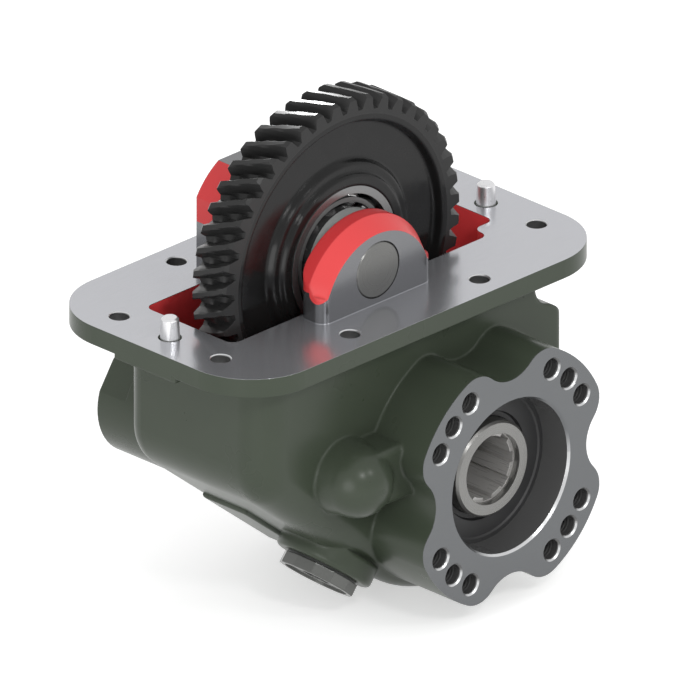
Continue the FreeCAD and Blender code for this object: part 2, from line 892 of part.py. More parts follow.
def cut_notches(body):
    """Room for the mounting bolts' heads beside the body, under the plate."""
    under = -dim.plate_thickness
    right = dim.shaft_x + dim.case_radius
    beyond = right + dim.notch_fillet
    fillet, turn = dim.notch_fillet, dim.notch_turn
    bend_z = under - dim.notch_depth
    join_x = dim.notch_reach + fillet - fillet * cosine(turn)
    join_z = bend_z - fillet * sine(turn)
    shoulder = (right - join_x) / (1 - cosine(turn))
    end_z = join_z - shoulder * sine(turn)
    hollow(body, "XZ_Plane", dim.notch_back, dim.body_front + dim.cut_beyond, [
        (dim.notch_reach, under),
        (dim.notch_reach, bend_z, fillet),
        (join_x, join_z, shoulder, "shoulder"),
        (right, end_z),
        (beyond, end_z),
        (beyond, under),
    ])
    drill_down(body, under, dim.scallop_depth, bolt_places(), dim.bolt_scallop)


def cut_holes(body):
    """Holes in the plate, the ears and the pump flange, and the bores for the bearings."""
    drill_down(body, as_size(0), dim.plate_thickness + dim.cut_beyond, bolt_places(), dim.bolt_hole / 2)
    drill_down(body, as_size(0), dim.plate_thickness + dim.dowel_boss_depth, dowel_places(),
               dim.dowel_diameter / 2)
    past = dim.cut_beyond
    drill(body, -(dim.far_ear_outer + past), dim.near_ear_outer + past, [(dim.gear_x, dim.gear_z)],
          dim.idler_shaft_diameter / 2)
    axis = [(dim.shaft_x, dim.shaft_z)]
    drill(body, dim.body_front - dim.front_wall - past, dim.flange_front, axis,
          dim.front_bearing_outer / 2 - dim.bearing_shoulder)
    drill(body, front_bearing_back, dim.flange_front, axis, dim.front_bearing_outer / 2)
    drill(body, dim.flange_front - dim.pilot_depth, dim.flange_front, axis, dim.pilot_diameter / 2)
    drill(body, -dim.rear_boss_back, rear_bearing_front + past, axis, dim.rear_bearing_outer / 2)
    drill(body, dim.flange_front - dim.pump_hole_depth, dim.flange_front, pump_hole_places(), dim.pump_hole / 2)
    drill(body, actuator_floor, dim.dome_centre, [(dim.shift_x, dim.shift_z)],
          dim.rod_diameter / 2 + dim.running_clearance)
    drill(body, -dim.actuator_back, actuator_floor, [(dim.shift_x, dim.shift_z)], dim.actuator_bore / 2)
    drill(body, -dim.actuator_back, cap_inner, [(dim.shift_x, dim.shift_z)], dim.actuator_cap_bore / 2)
    drill(body, -dim.rear_boss_back, -dim.rear_boss_back + dim.screw_length - dim.cover_thickness,
          cover_screw_places(), dim.cover_screw / 2)


def chamfer_holes(body):
    """Chamfers round the pilot bore and the dowel holes."""
    face = -dim.flange_front.value
    pilot, dowel = dim.pilot_diameter / 2, dim.dowel_diameter / 2
    chamfer_edges(body, lambda edge: is_round(edge, pilot) and lies_at(edge, face), dim.pilot_chamfer)
    chamfer_edges(body, lambda edge: is_round(edge, dowel) and lies_level(edge, 0), dim.dowel_hole_chamfer)


def cover_screw_places():
    """Screw centres of the rear cover in (x, z)."""
    circle = dim.cover_screw_circle / 2
    places = []
    for number in range(round(dim.cover_screws.value)):
        angle = as_size(360.0 * (number + 0.5)) / dim.cover_screws
        places.append((dim.shaft_x + circle * cosine(angle), dim.shaft_z + circle * sine(angle)))
    return places


def off_slope(edge, height):
    """True for an edge at a height from the output axis, square to the sloping wall."""
    angle = math.radians(dim.wall_slope.value)
    for vertex in edge.Vertexes:
        across = (dim.shaft_x.value - vertex.X) * math.sin(angle)
        down = (dim.shaft_z.value - vertex.Z) * math.cos(angle)
        if abs(across + down - height.value) > 0.01:
            return False
    return True


def build_plug_seat(body):
    """Boss for the closing plug, and the cast pad behind it on the sloping wall."""
    sketch = tilted_sketch(body, dim.case_radius - dim.side_wall / 2, -dim.plug_along, dim.plug_front)
    add_circle(sketch, 0, 0, dim.plug_boss_diameter / 2)
    pad(body, sketch, dim.plug_boss_height + dim.side_wall / 2)
    rim = dim.case_radius + dim.plug_boss_height
    round_edges(body, lambda edge: off_slope(edge, rim), dim.plug_boss_edge)
    sketch = tilted_sketch(body, dim.case_radius - dim.side_wall / 2, -dim.pad_start, -dim.body_back)
    add_outline(sketch, rectangle(as_size(0), -(dim.back_edge + dim.pad_width),
                                  dim.pad_length, -dim.back_edge))
    pad(body, sketch, dim.pad_height + dim.side_wall / 2)
    crown = dim.case_radius + dim.pad_height
    round_edges(body, lambda edge: off_slope(edge, crown), dim.pad_edge)


def bore_plug_seat(body):
    sketch = tilted_sketch(body, dim.case_radius + dim.plug_boss_height, -dim.plug_along, dim.plug_front)
    add_circle(sketch, 0, 0, dim.plug_thread / 2)
    pocket(body, sketch, dim.plug_boss_height + dim.side_wall + dim.overlap)


def build_housing():
    body = new_body("housing")
    build_case(body)
    build_plate(body)
    build_neck(body)
    build_back(body)
    build_plug_seat(body)
    cut_inside(body)
    build_ears(body)
    cut_notches(body)
    cut_holes(body)
    chamfer_holes(body)
    bore_plug_seat(body)
    return body


# Gears


def tooth_half_angle(radius, pitch_radius, teeth, backlash, pressure):
    """Half of the angle that a tooth fills at a radius, for an involute flank."""
    base = pitch_radius * math.cos(pressure)
    inside = math.acos(min(1.0, base / radius))
    spread = (math.tan(pressure) - pressure) - (math.tan(inside) - inside)
    return math.pi / (2 * teeth) - backlash / (4 * pitch_radius) + spread


def tooth_outline(teeth, pitch_radius, tip_radius, root_radius, turn):
    """Transverse outline of a gear, with chords along each involute flank."""
    pressure = math.radians(dim.pressure_angle.value)
    base = pitch_radius * math.cos(pressure)
    lowest = max(root_radius, base)
    radii = [lowest + (tip_radius - lowest) * share for share in FLANK_SHARES]
    halves = [tooth_half_angle(r, pitch_radius, teeth, dim.backlash.value, pressure) for r in radii]
    if root_radius < lowest:
        radii.insert(0, root_radius)
        halves.insert(0, halves[0])
    points = []
    for number in range(teeth):
        middle = turn + 2 * math.pi * number / teeth
        rising = [(r, middle - half) for r, half in zip(radii, halves)]
        falling = [(r, middle + half) for r, half in zip(reversed(radii), reversed(halves))]
        points += rising + falling
    return points


def helical_prism(teeth, pitch_radius, tip_radius, root_radius, phase, back, front, hand):
    """Toothed prism about the Y axis, with straight-sided slices turned along the helix."""
    twist = hand * math.tan(math.radians(dim.helix_angle.value)) / pitch_radius
    wires = []
    for number in range(HELIX_SLICES + 1):
        front_now = back + (front - back) * number / HELIX_SLICES
        outline = tooth_outline(teeth, pitch_radius, tip_radius, root_radius, phase + twist * front_now)
        corners = [FreeCAD.Vector(r * math.cos(a), -front_now, r * math.sin(a)) for r, a in outline]
        wires.append(Part.makePolygon(corners + corners[:1]))
    return Part.makeLoft(wires, True, True)


def toothed(label, blank_profile, prism, x, z):
    """Gear: a turned blank trimmed to the toothed prism."""
    blank = new_body(label + "_blank")
    revolve(blank, blank_profile)
    teeth = doc.addObject("Part::Feature", label + "_teeth")
    teeth.Shape = prism
    gear = doc.addObject("Part::Common", label)
    gear.Label = label
    gear.Base = blank
    gear.Tool = teeth
    set_axis(gear, x, z)
    return gear


def mesh_angle():
    """Direction in (x, z) from the idler axis to the output axis."""
    return math.atan2(dim.shaft_z.value - dim.gear_z.value, dim.shaft_x.value - dim.gear_x.value)


def build_idler_gear():
    front, back, chamfer = dim.face_front, face_back, dim.tooth_chamfer
    tip, step = idler_tip_radius, dim.hub_step
    bore = dim.idler_bearing_outer / 2
    hub_front, hub_back = dim.idler_hub_front, idler_hub_back
    recess_front, recess_back = dim.idler_web_front, dim.idler_web_back
    profile = [
        (bore, hub_back),
        (dim.idler_nose_radius, hub_back),
        (dim.idler_hub_radius, hub_back + step),
        (dim.idler_hub_radius, recess_back),
        (dim.idler_rim_inner - step, recess_back),
        (dim.idler_rim_inner, back),
        (tip - chamfer, back),
        (tip, back + chamfer),
        (tip, front - chamfer),
        (tip - chamfer, front),
        (dim.idler_rim_inner, front),
        (dim.idler_rim_inner - step, recess_front),
        (dim.idler_hub_radius, recess_front),
        (dim.idler_hub_radius - step, hub_front - step),
        (dim.idler_nose_radius + step / 2, hub_front - step),
        (dim.idler_nose_radius, hub_front),
        (bore, hub_front),
    ]
    margin = dim.tooth_margin.value
    prism = helical_prism(
        round(dim.idler_teeth.value), idler_pitch_radius.value, tip.value + margin,
        idler_pitch_radius.value - dim.dedendum.value, mesh_angle() + math.radians(dim.gear_turn.value),
        hub_back.value - margin, hub_front.value + margin, -1,
    )
    return toothed("input_gear", profile, prism, dim.gear_x, dim.gear_z)


def build_output_gear():
    front, back, chamfer = dim.face_front, face_back, dim.tooth_chamfer
    tip = output_tip_radius
    bore = dim.gear_journal_diameter / 2 + dim.bush_wall
    profile = [
        (bore, back),
        (tip - chamfer, back),
        (tip, back + chamfer),
        (tip, front - chamfer),
        (tip - chamfer, front),
        (bore, front),
    ]
    teeth, margin = round(dim.output_teeth.value), dim.tooth_margin.value
    turn = math.radians(dim.gear_turn.value) * dim.idler_teeth.value / teeth
    prism = helical_prism(
        teeth, output_pitch_radius.value, tip.value + margin,
        output_pitch_radius.value - dim.dedendum.value, mesh_angle() + math.pi + math.pi / teeth - turn,
        back.value - margin, front.value + margin, 1,
    )
    gear = toothed("output_gear_rim", profile, prism, as_size(0), as_size(0))
    dogs = new_body("output_gear_dogs")
    start = face_back - dim.dog_length
    splined_ring(dogs, bore, start, face_back + dim.cut_beyond)
    whole = doc.addObject("Part::Fuse", "output_gear")
    whole.Label = "output_gear"
    whole.Base = gear
    whole.Tool = dogs
    set_axis(whole, dim.shaft_x, dim.shaft_z)
    return whole


def splined_ring(body, bore, back, front):
    """Ring with the clutch's outer dog teeth."""
    revolve(body, ring(bore, dim.clutch_major / 2, back, front))
    gap = new_sketch(body, "XZ_Plane", front)
    half_gap = as_size(180) / dim.clutch_teeth
    minor, beyond = dim.clutch_minor / 2, dim.clutch_major / 2 + dim.overlap
    half = dim.clutch_tooth / 2
    along_x, along_z = cosine(half_gap * 2), sine(half_gap * 2)
    base = root(minor * minor - half * half)
    far = root(beyond * beyond - half * half)
    add_outline(gap, [
        (base, half),
        (far, half),
        (far * along_x + half * along_z, far * along_z - half * along_x),
        (base * along_x + half * along_z, base * along_z - half * along_x),
    ])
    cut = pocket(body, gap, front - back)
    repeat_round(body, cut, dim.clutch_teeth)


# Idler shaft and bearings


def build_idler_shaft():
    radius, chamfer = dim.idler_shaft_diameter / 2, dim.idler_shaft_chamfer
    front, back = dim.near_ear_outer, -dim.far_ear_outer
    return turned("idler_shaft", [
        (0, back),
        (radius - chamfer, back),
        (radius, back + chamfer),
        (radius, front - chamfer),
        (radius - chamfer, front),
        (0, front),
    ], dim.gear_x, dim.gear_z)


def grooved_ring(label, bore, land, outer_ring, back, width, ball, pitch, x, z):
    """Bearing ring with its ball groove: bore and land are the plain and the grooved radius."""
    middle = back + width / 2
    groove = ball / 2 + dim.running_clearance
    offset = land - pitch if outer_ring else pitch - land
    half = root(groove * groove - offset * offset)
    if outer_ring:
        profile = [
            (land, back),
            (bore, back),
            (bore, back + width),
            (land, back + width),
            (land, middle + half, groove),
            (land, middle - half),
        ]
    else:
        profile = [
            (bore, back),
            (land, back),
            (land, middle - half, groove),
            (land, middle + half),
            (land, back + width),
            (bore, back + width),
        ]
    return turned(label, profile, x, z)


def ball_pitch():
    inner = dim.idler_shaft_diameter / 2 + dim.inner_ring_wall
    outer = dim.idler_bearing_outer / 2 - dim.outer_ring_wall
    return (inner + outer) / 2


def ball_places(middle, pitch):
    """Ball centres as (x, y, z) about the bearing's axis."""
    places = []
    for number in range(round(dim.ball_count.value)):
        angle = as_size(360.0 * number) / dim.ball_count
        places.append((pitch * cosine(angle), -middle, pitch * sine(angle)))
    return places


def spheres(label, places, radius):
    """Separate balls of one size as one compound."""
    balls = []
    for number, (x, y, z) in enumerate(places):
        ball = doc.addObject("Part::Sphere", label + "_" + str(number))
        bind(ball, "Radius", radius)
        bind(ball, "Placement.Base.x", x)
        bind(ball, "Placement.Base.y", y)
        bind(ball, "Placement.Base.z", z)
        balls.append(ball)
    group = doc.addObject("Part::Compound", label)
    group.Label = label
    group.Links = balls
    return group


def build_idler_bearing(side, back):
    """Ball bearing between the idler shaft and the gear's hub."""
    x, z = dim.gear_x, dim.gear_z
    width, ball, pitch = dim.idler_bearing_width, dim.ball_diameter, ball_pitch()
    shaft, hub = dim.idler_shaft_diameter / 2, dim.idler_bearing_outer / 2
    middle = back + width / 2
    inner = grooved_ring(side + "_idler_inner_ring", shaft, shaft + dim.inner_ring_wall, False,
                         back, width, ball, pitch, x, z)
    outer = grooved_ring(side + "_idler_outer_ring", hub, hub - dim.outer_ring_wall, True,
                         back, width, ball, pitch, x, z)
    balls = spheres(side + "_idler_balls", ball_places(middle, pitch), ball / 2)
    set_axis(balls, x, z)
    cage = new_body(side + "_idler_cage")
    revolve(cage, ring(pitch - dim.cage_wall / 2, pitch + dim.cage_wall / 2,
                       middle - dim.cage_width / 2, middle + dim.cage_width / 2))
    hole = new_sketch(cage, "YZ_Plane", pitch + dim.cage_wall)
    add_circle(hole, -middle, 0, ball / 2 + dim.running_clearance * 3)
    repeat_round(cage, pocket(cage, hole, dim.cage_wall * 2), dim.ball_count)
    set_axis(cage, x, z)
    return [inner, outer, balls, cage]


def build_thrust_ring(side, back, front):
    """Ring between a bearing's inner ring and the ear beside it."""
    shaft, outer = dim.idler_shaft_diameter / 2, dim.thrust_ring_diameter / 2
    return turned(side + "_thrust_ring", ring(shaft, outer, back, front), dim.gear_x, dim.gear_z)


def build_idler_set():
    width = dim.idler_bearing_width
    front_back = dim.idler_hub_front - width
    pieces = [build_idler_shaft()]
    pieces += build_idler_bearing("front", front_back)
    pieces += build_idler_bearing("rear", idler_hub_back)
    pieces.append(build_thrust_ring("front", dim.idler_hub_front, dim.window_front))
    pieces.append(build_thrust_ring("rear", -dim.far_ear_inner, idler_hub_back))
    pieces.append(turned("bearing_spacer", ring(dim.idler_bearing_outer / 2 - dim.outer_ring_wall,
                                                dim.idler_bearing_outer / 2,
                                                idler_hub_back + width, front_back), dim.gear_x, dim.gear_z))
    pieces.append(turned("shaft_spacer", ring(dim.idler_shaft_diameter / 2,
                                              dim.idler_shaft_diameter / 2 + dim.inner_ring_wall / 2,
                                              idler_hub_back + width, front_back), dim.gear_x, dim.gear_z))
    return pieces


# Output shaft, its bearings and the dog clutch


def build_output_shaft():
    """Shaft with a splined socket for the pump."""
    x, z = dim.shaft_x, dim.shaft_z
    front, chamfer = dim.shaft_front, dim.shaft_chamfer
    body = turned("output_shaft", [
        (0, -dim.shaft_back),
        (dim.rear_journal_diameter / 2 - chamfer, -dim.shaft_back),
        (dim.rear_journal_diameter / 2, -dim.shaft_back + chamfer),
        (dim.rear_journal_diameter / 2, rear_bearing_front),
        (dim.hub_seat_diameter / 2, rear_bearing_front),
        (dim.hub_seat_diameter / 2, dim.clutch_hub_front),
        (dim.gear_journal_diameter / 2, dim.clutch_hub_front),
        (dim.gear_journal_diameter / 2, dim.shaft_collar_back),
        (dim.shaft_collar_diameter / 2, dim.shaft_collar_back),
        (dim.shaft_collar_diameter / 2, front_bearing_back),
        (dim.shaft_diameter / 2, front_bearing_back),
        (dim.shaft_diameter / 2, front - chamfer),
        (dim.shaft_diameter / 2 - chamfer, front),
        (0, front),
    ], x, z)
    drill(body, front - dim.spline_depth, front, [(as_size(0), as_size(0))], dim.spline_minor / 2)
    drill(body, front - dim.lead_in_depth, front, [(as_size(0), as_size(0))], dim.lead_in_diameter / 2)
    groove = new_sketch(body, "XZ_Plane", front)
    half, reach = dim.spline_tooth / 2, dim.spline_major / 2
    add_outline(groove, rectangle(-half, dim.spline_minor / 4, half, root(reach * reach - half * half)))
    cut = pocket(body, groove, dim.spline_depth - dim.spline_tooth)
    repeat_round(body, cut, dim.spline_count)
    return body


def build_roller_bearing(name, inner_radius, outer_radius, wall, back, width, roller):
    """Cylindrical roller bearing on the output shaft: two rings, rollers and cage."""
    x, z = dim.shaft_x, dim.shaft_z
    gap = dim.running_clearance
    inner_land = inner_radius + wall
    outer_land = inner_land + roller + gap * 2
    inner = turned(name + "_inner_ring", ring(inner_radius, inner_land, back, back + width), x, z)
    outer = turned(name + "_outer_ring", ring(outer_land, outer_radius, back, back + width), x, z)
    pitch = inner_land + gap + roller / 2
    middle, half = back + width / 2, width * dim.roller_share / 2
    cage_half = width * dim.roller_cage_share / 2
    rollers = new_body(name + "_rollers")
    sketch = new_sketch(rollers, "XZ_Plane", middle - half)
    add_circle(sketch, pitch, 0, roller / 2)
    repeat_round(rollers, pad(rollers, sketch, half * 2), dim.roller_count)
    set_axis(rollers, x, z)
    band = new_body(name + "_cage")
    revolve(band, ring(pitch - dim.roller_cage_wall / 2, pitch + dim.roller_cage_wall / 2,
                       middle - cage_half, middle + cage_half))
    slot = new_sketch(band, "XZ_Plane", middle + half + gap * 2)
    add_circle(slot, pitch, 0, roller / 2 + gap * 2)
    repeat_round(band, pocket(band, slot, (half + gap * 2) * 2), dim.roller_count)
    set_axis(band, x, z)
    return [inner, outer, rollers, band]


def build_output_bearings():
    pieces = build_roller_bearing(
        "front_bearing", dim.shaft_diameter / 2, dim.front_bearing_outer / 2, dim.front_bearing_wall,
        front_bearing_back, dim.front_bearing_width, dim.front_roller_diameter)
    pieces += build_roller_bearing(
        "rear_bearing", dim.rear_journal_diameter / 2, dim.rear_bearing_outer / 2, dim.rear_bearing_wall,
        rear_bearing_back, dim.rear_bearing_width, dim.rear_roller_diameter)
    return pieces


def build_seal():
    """Oil seal around the shaft, flush with the floor of the pump's pilot bore, and the
    retaining ring behind it."""
    x, z = dim.shaft_x, dim.shaft_z
    outer, shaft = dim.front_bearing_outer / 2, dim.shaft_diameter / 2
    front = dim.flange_front - dim.pilot_depth
    back = front - dim.seal_width
    lip, wall, step = shaft + dim.open_clearance, dim.seal_wall, dim.seal_step
    disc_front = front - step
    disc_back = disc_front - dim.seal_web
    seal = turned("oil_seal", [
        (lip, front - dim.seal_lip_depth),
        (lip + wall, front - dim.seal_lip_depth),
        (lip + wall + step, disc_front),
        (outer - wall - step, disc_front),
        (outer - wall, front),
        (outer, front),
        (outer, back),
        (outer - wall, back),
        (outer - wall, disc_back),
        (lip + wall + step, disc_back),
        (lip + wall, back + wall),
        (lip, back + wall + step),
    ], x, z)
    clip = turned("bearing_retaining_ring",
                  ring(outer - dim.circlip_width, outer, front_bearing_front, back), x, z)
    return [seal, clip]


def build_clutch():
    """Clutch hub on the shaft, sliding sleeve and the bush under the output gear."""
    x, z = dim.shaft_x, dim.shaft_z
    hub = new_body("clutch_hub")
    splined_ring(hub, dim.hub_seat_diameter / 2, clutch_hub_back, dim.clutch_hub_front)
    set_axis(hub, x, z)
    sleeve = new_body("clutch_sleeve")
    clearance = dim.clutch_clearance
    outer, groove = dim.sleeve_diameter / 2, dim.sleeve_groove_diameter / 2
    revolve(sleeve, [
        (dim.clutch_minor / 2 + clearance, sleeve_back),
        (outer, sleeve_back),
        (outer, groove_back),
        (groove, groove_back),
        (groove, groove_front),
        (outer, groove_front),
        (outer, dim.sleeve_front),
        (dim.clutch_minor / 2 + clearance, dim.sleeve_front),
    ])
    slot = new_sketch(sleeve, "XZ_Plane", dim.sleeve_front)
    half, reach = dim.clutch_tooth / 2 + clearance, dim.clutch_major / 2 + clearance
    add_outline(slot, rectangle(dim.clutch_minor / 2 - dim.overlap, -half, reach, half))
    repeat_round(sleeve, pocket(sleeve, slot, dim.sleeve_length), dim.clutch_teeth)
    set_axis(sleeve, x, z)
    journal = dim.gear_journal_diameter / 2
    bush = turned("gear_bush", ring(journal + dim.running_clearance, journal + dim.bush_wall,
                                    face_back - dim.dog_length, dim.face_front), x, z)
    washer_front = dim.shaft_collar_back
    washer = turned("thrust_washer", ring(journal, journal + dim.washer_wall,
                                          washer_front - dim.thrust_washer, washer_front), x, z)
    spacer = turned("hub_spacer", ring(dim.hub_seat_diameter / 2, dim.hub_seat_diameter / 2 + dim.spacer_wall,
                                       rear_bearing_front, clutch_hub_back), x, z)
    return [hub, sleeve, bush, washer, spacer]


# Shifting gear


def build_fork():
    """Fork that rides in the sleeve's groove, with its boss on the shift rod."""
    body = new_body("shift_fork")
    back = fork_middle - dim.fork_thickness / 2
    front = fork_middle + dim.fork_thickness / 2
    inner = dim.sleeve_groove_diameter / 2 + dim.fork_gap
    drum(body, back, front, dim.shaft_x, dim.shaft_z, dim.fork_outer)
    past = dim.fork_outer + dim.cut_beyond
    hollow(body, "XZ_Plane", back, front,
           rectangle(dim.shaft_x - dim.cut_beyond, dim.shaft_z - past,
                     dim.shaft_x + past, dim.shaft_z + past))
    block(body, "XZ_Plane", back, front, [
        (dim.shift_x, dim.shift_z - dim.fork_foot_low),
        (dim.shaft_x - inner, dim.shaft_z - dim.fork_arm_low),
        (dim.shaft_x - inner, dim.shaft_z + dim.fork_arm_high),
        (dim.shift_x, dim.shift_z + dim.fork_foot_high),
    ])
    drum(body, fork_middle - dim.fork_boss_length / 2, fork_middle + dim.fork_boss_length / 2,
         dim.shift_x, dim.shift_z, dim.fork_boss)
    drill(body, back, front, [(dim.shaft_x, dim.shaft_z)], inner)
    drill(body, fork_middle - dim.fork_boss_length / 2, fork_middle + dim.fork_boss_length / 2,
          [(dim.shift_x, dim.shift_z)], dim.rod_diameter / 2)
    drill_down(body, dim.shift_z + dim.fork_boss, dim.fork_boss * 2, [(dim.shift_x, -fork_middle)],
               dim.fork_pin_diameter / 2)
    return body


def build_rod():
    """Shift rod with a cross hole for the fork's pin."""
    body = new_body("shift_rod")
    drum(body, -dim.piston_back, dim.rod_front, dim.shift_x, dim.shift_z, dim.rod_diameter / 2)
    drill_down(body, dim.shift_z + dim.rod_diameter, dim.rod_diameter * 2,
               [(dim.shift_x, -fork_middle)], dim.fork_pin_diameter / 2)
    return body


def build_fork_pin():
    body = new_body("fork_pin")
    half = dim.fork_boss - dim.fork_pin_inset
    sketch = new_sketch(body, "XY_Plane", dim.shift_z - half)
    add_circle(sketch, dim.shift_x, -fork_middle, dim.fork_pin_diameter / 2)
    pad(body, sketch, half * 2)
    return body


def build_piston():
    """Piston on the end of the rod, with its seal ring in a groove."""
    x, z = dim.shift_x, dim.shift_z
    radius = dim.actuator_bore / 2 - dim.open_clearance
    rod = dim.rod_diameter / 2
    back, front = -dim.piston_back, piston_front
    groove_back = (back + front) / 2 - dim.piston_groove / 2
    groove_front_edge = groove_back + dim.piston_groove
    floor = radius - dim.piston_groove
    piston = turned("piston", [
        (rod, back),
        (radius, back),
        (radius, groove_back),
        (floor, groove_back),
        (floor, groove_front_edge),
        (radius, groove_front_edge),
        (radius, front),
        (rod, front),
    ], x, z)
    seal = turned("piston_seal", ring(floor, dim.actuator_bore / 2 - dim.running_clearance,
                                      groove_back, groove_front_edge), x, z)
    return [piston, seal]


def build_spring():
    """Return spring between the housing's back wall and the piston."""
    body = new_body("return_spring")
    wire = dim.spring_wire / 2
    length = actuator_floor - piston_front - dim.open_clearance * 2
    start = piston_front + dim.open_clearance + wire
    sketch = new_sketch(body, "XY_Plane")
    add_circle(sketch, dim.spring_radius, -start, wire)
    coil = body.newObject("PartDesign::AdditiveHelix", "coil")
    coil.Profile = sketch
    coil.ReferenceAxis = (sketch, ["V_Axis"])
    coil.Mode = "height-turns-angle"
    bind(coil, "Height", length - dim.spring_wire)
    bind(coil, "Turns", dim.spring_turns)
    coil.Reversed = True
    set_axis(body, dim.shift_x, dim.shift_z)
    return body


def build_actuator_cap():
    """End cap with its air port, held in the cylinder by a retaining ring."""
    x, z = dim.shift_x, dim.shift_z
    outer = dim.actuator_cap_bore / 2
    clip_front = -dim.actuator_back + dim.circlip_thickness + dim.cap_inset
    cap = turned("actuator_cap", [
        (dim.air_port / 2, clip_front),
        (outer, clip_front),
        (outer, cap_inner),
        (dim.air_port / 2, cap_inner),
    ], x, z)
    clip = turned("cap_retaining_ring", ring(outer - dim.circlip_width, outer,
                                             clip_front - dim.circlip_thickness, clip_front), x, z)
    return [cap, clip]


# Rear cover, plug and dowels


def build_rear_cover():
    """Cover over the rear bearing, its gasket and its screws."""
    x, z = dim.shaft_x, dim.shaft_z
    face = -dim.rear_boss_back - dim.gasket_thickness
    outer, dome, wall = dim.cover_diameter / 2, dim.cover_dome_diameter / 2, dim.cover_wall
    back = face - dim.cover_thickness
    crown = back - dim.cover_dome_height
    cover = new_body("rear_cover")
    revolve(cover, [
        (0, crown),
        (dome - wall, crown),
        (dome, back),
        (outer, back),
        (outer, face),
        (dome - wall, face),
        (dome - wall * 2, crown + wall),
        (0, crown + wall),
    ])
    holes = new_sketch(cover, "XZ_Plane", face)
    screw_x, screw_z = cover_screw_places()[0]
    add_circle(holes, screw_x - x, screw_z - z, dim.cover_screw / 2 + dim.open_clearance)
    repeat_round(cover, pocket(cover, holes, dim.cover_thickness), dim.cover_screws)
    set_axis(cover, x, z)
    gasket = new_body("rear_gasket")
    revolve(gasket, ring(dome - wall, outer, face, -dim.rear_boss_back))
    holes = new_sketch(gasket, "XZ_Plane", -dim.rear_boss_back)
    add_circle(holes, screw_x - x, screw_z - z, dim.cover_screw / 2 + dim.open_clearance)
    repeat_round(gasket, pocket(gasket, holes, dim.gasket_thickness), dim.cover_screws)
    set_axis(gasket, x, z)
    return [cover, gasket, build_cover_screws(back, screw_x - x, screw_z - z)]


def build_cover_screws(seat, x, z):
    """Socket head screws of the rear cover, as separate solids."""
    screws = new_body("cover_screws")
    head = new_sketch(screws, "XZ_Plane", seat - dim.screw_head_height)
    add_circle(head, x, z, dim.screw_head / 2)
    head_pad = pad(screws, head, dim.screw_head_height)
    shank = new_sketch(screws, "XZ_Plane", seat - dim.cut_beyond)
    add_circle(shank, x, z, dim.cover_screw / 2)
    shank_pad = pad(screws, shank, dim.screw_length + dim.cut_beyond - dim.gasket_thickness)
    pattern = screws.newObject("PartDesign::PolarPattern", "pattern")
    pattern.Originals = [head_pad, shank_pad]
    pattern.Axis = (origin_part(screws, "Y_Axis"), [""])
    pattern.Angle = 360
    bind(pattern, "Occurrences", dim.cover_screws)
    screws.Tip = pattern
    set_axis(screws, dim.shaft_x, dim.shaft_z)
    return screws


def even_outline(sides, reach, turn=0):
    """Corners of an even-sided outline; turn is the first corner's angle."""
    corners = []
    for number in range(round(sides.value)):
        angle = as_size(360.0 * number) / sides + turn
        corners.append((reach * cosine(angle), reach * sine(angle)))
    return corners


def build_plug():
    """Closing plug with a many-sided dished collar, and its sealing washer."""
    body = new_body("closing_plug")
    seat = dim.case_radius + dim.plug_boss_height
    under = seat + dim.washer_thickness
    outer = dim.plug_collar_diameter / 2
    sketch = tilted_sketch(body, under, -dim.plug_along, dim.plug_front)
    add_outline(sketch, even_outline(dim.plug_collar_sides, outer))
    pad(body, sketch, dim.plug_collar_height)
    sketch = tilted_sketch(body, under + dim.plug_collar_height, -dim.plug_along, dim.plug_front)
    add_circle(sketch, 0, 0, outer - dim.plug_rim)
    pocket(body, sketch, dim.plug_dish)
    sketch = tilted_sketch(body, under - dim.plug_length, -dim.plug_along, dim.plug_front)
    add_circle(sketch, 0, 0, dim.plug_thread / 2)
    pad(body, sketch, dim.plug_length)
    sketch = tilted_sketch(body, under + dim.plug_collar_height, -dim.plug_along, dim.plug_front)
    add_outline(sketch, even_outline(as_size(6), dim.plug_socket / root(as_size(3))))
    pocket(body, sketch, dim.plug_socket_depth)
    washer = new_body("plug_washer")
    sketch = tilted_sketch(washer, seat, -dim.plug_along, dim.plug_front)
    add_circle(sketch, 0, 0, outer - dim.washer_inset)
    add_circle(sketch, 0, 0, dim.plug_thread / 2)
    pad(washer, sketch, dim.washer_thickness)
    return [body, washer]


def build_dowels():
    """Two locating pins that stand out of the mounting face."""
    pins = new_body("dowel_pins")
    depth = dim.plate_thickness + dim.dowel_boss_depth
    radius, tip, chamfer = dim.dowel_diameter / 2, dim.dowel_tip / 2, dim.dowel_chamfer
    for side in (-1, 1):
        x = dim.end_bolt_reach * side
        sketch = new_sketch(pins, "XZ_Plane")
        add_outline(sketch, [
            (x, -depth),
            (x + radius, -depth),
            (x + radius, 0),
            (x + tip, dim.dowel_height - chamfer),
            (x + tip - chamfer, dim.dowel_height),
            (x, dim.dowel_height),
        ])
        line = sketch.addGeometry(
            Part.LineSegment(FreeCAD.Vector(x.value, 0, 0), FreeCAD.Vector(x.value, 5, 0)), True)
        lock_point(sketch, line, 1, x, 0)
        lock_point(sketch, line, 2, x, 5)
        pin = pins.newObject("PartDesign::Revolution", "pin")
        pin.Profile = sketch
        pin.ReferenceAxis = (sketch, ["Axis0"])
        pin.Angle = 360
    return pins


def check_object(item):
    """Stop if an object failed to build."""
    if "Invalid" in item.State or "Error" in item.State:
        raise RuntimeError(item.Label + " failed: " + str(item.State))


def export(pieces):
    doc.recompute()
    for item in doc.Objects:
        check_object(item)
    for piece in pieces:
        if piece.Shape.isNull() or not piece.Shape.isValid():
            raise RuntimeError(piece.Label + " has no valid shape")
    os.makedirs("parts", exist_ok=True)
    for piece in pieces:
        piece.Shape.exportStep("parts/" + piece.Label + ".step")


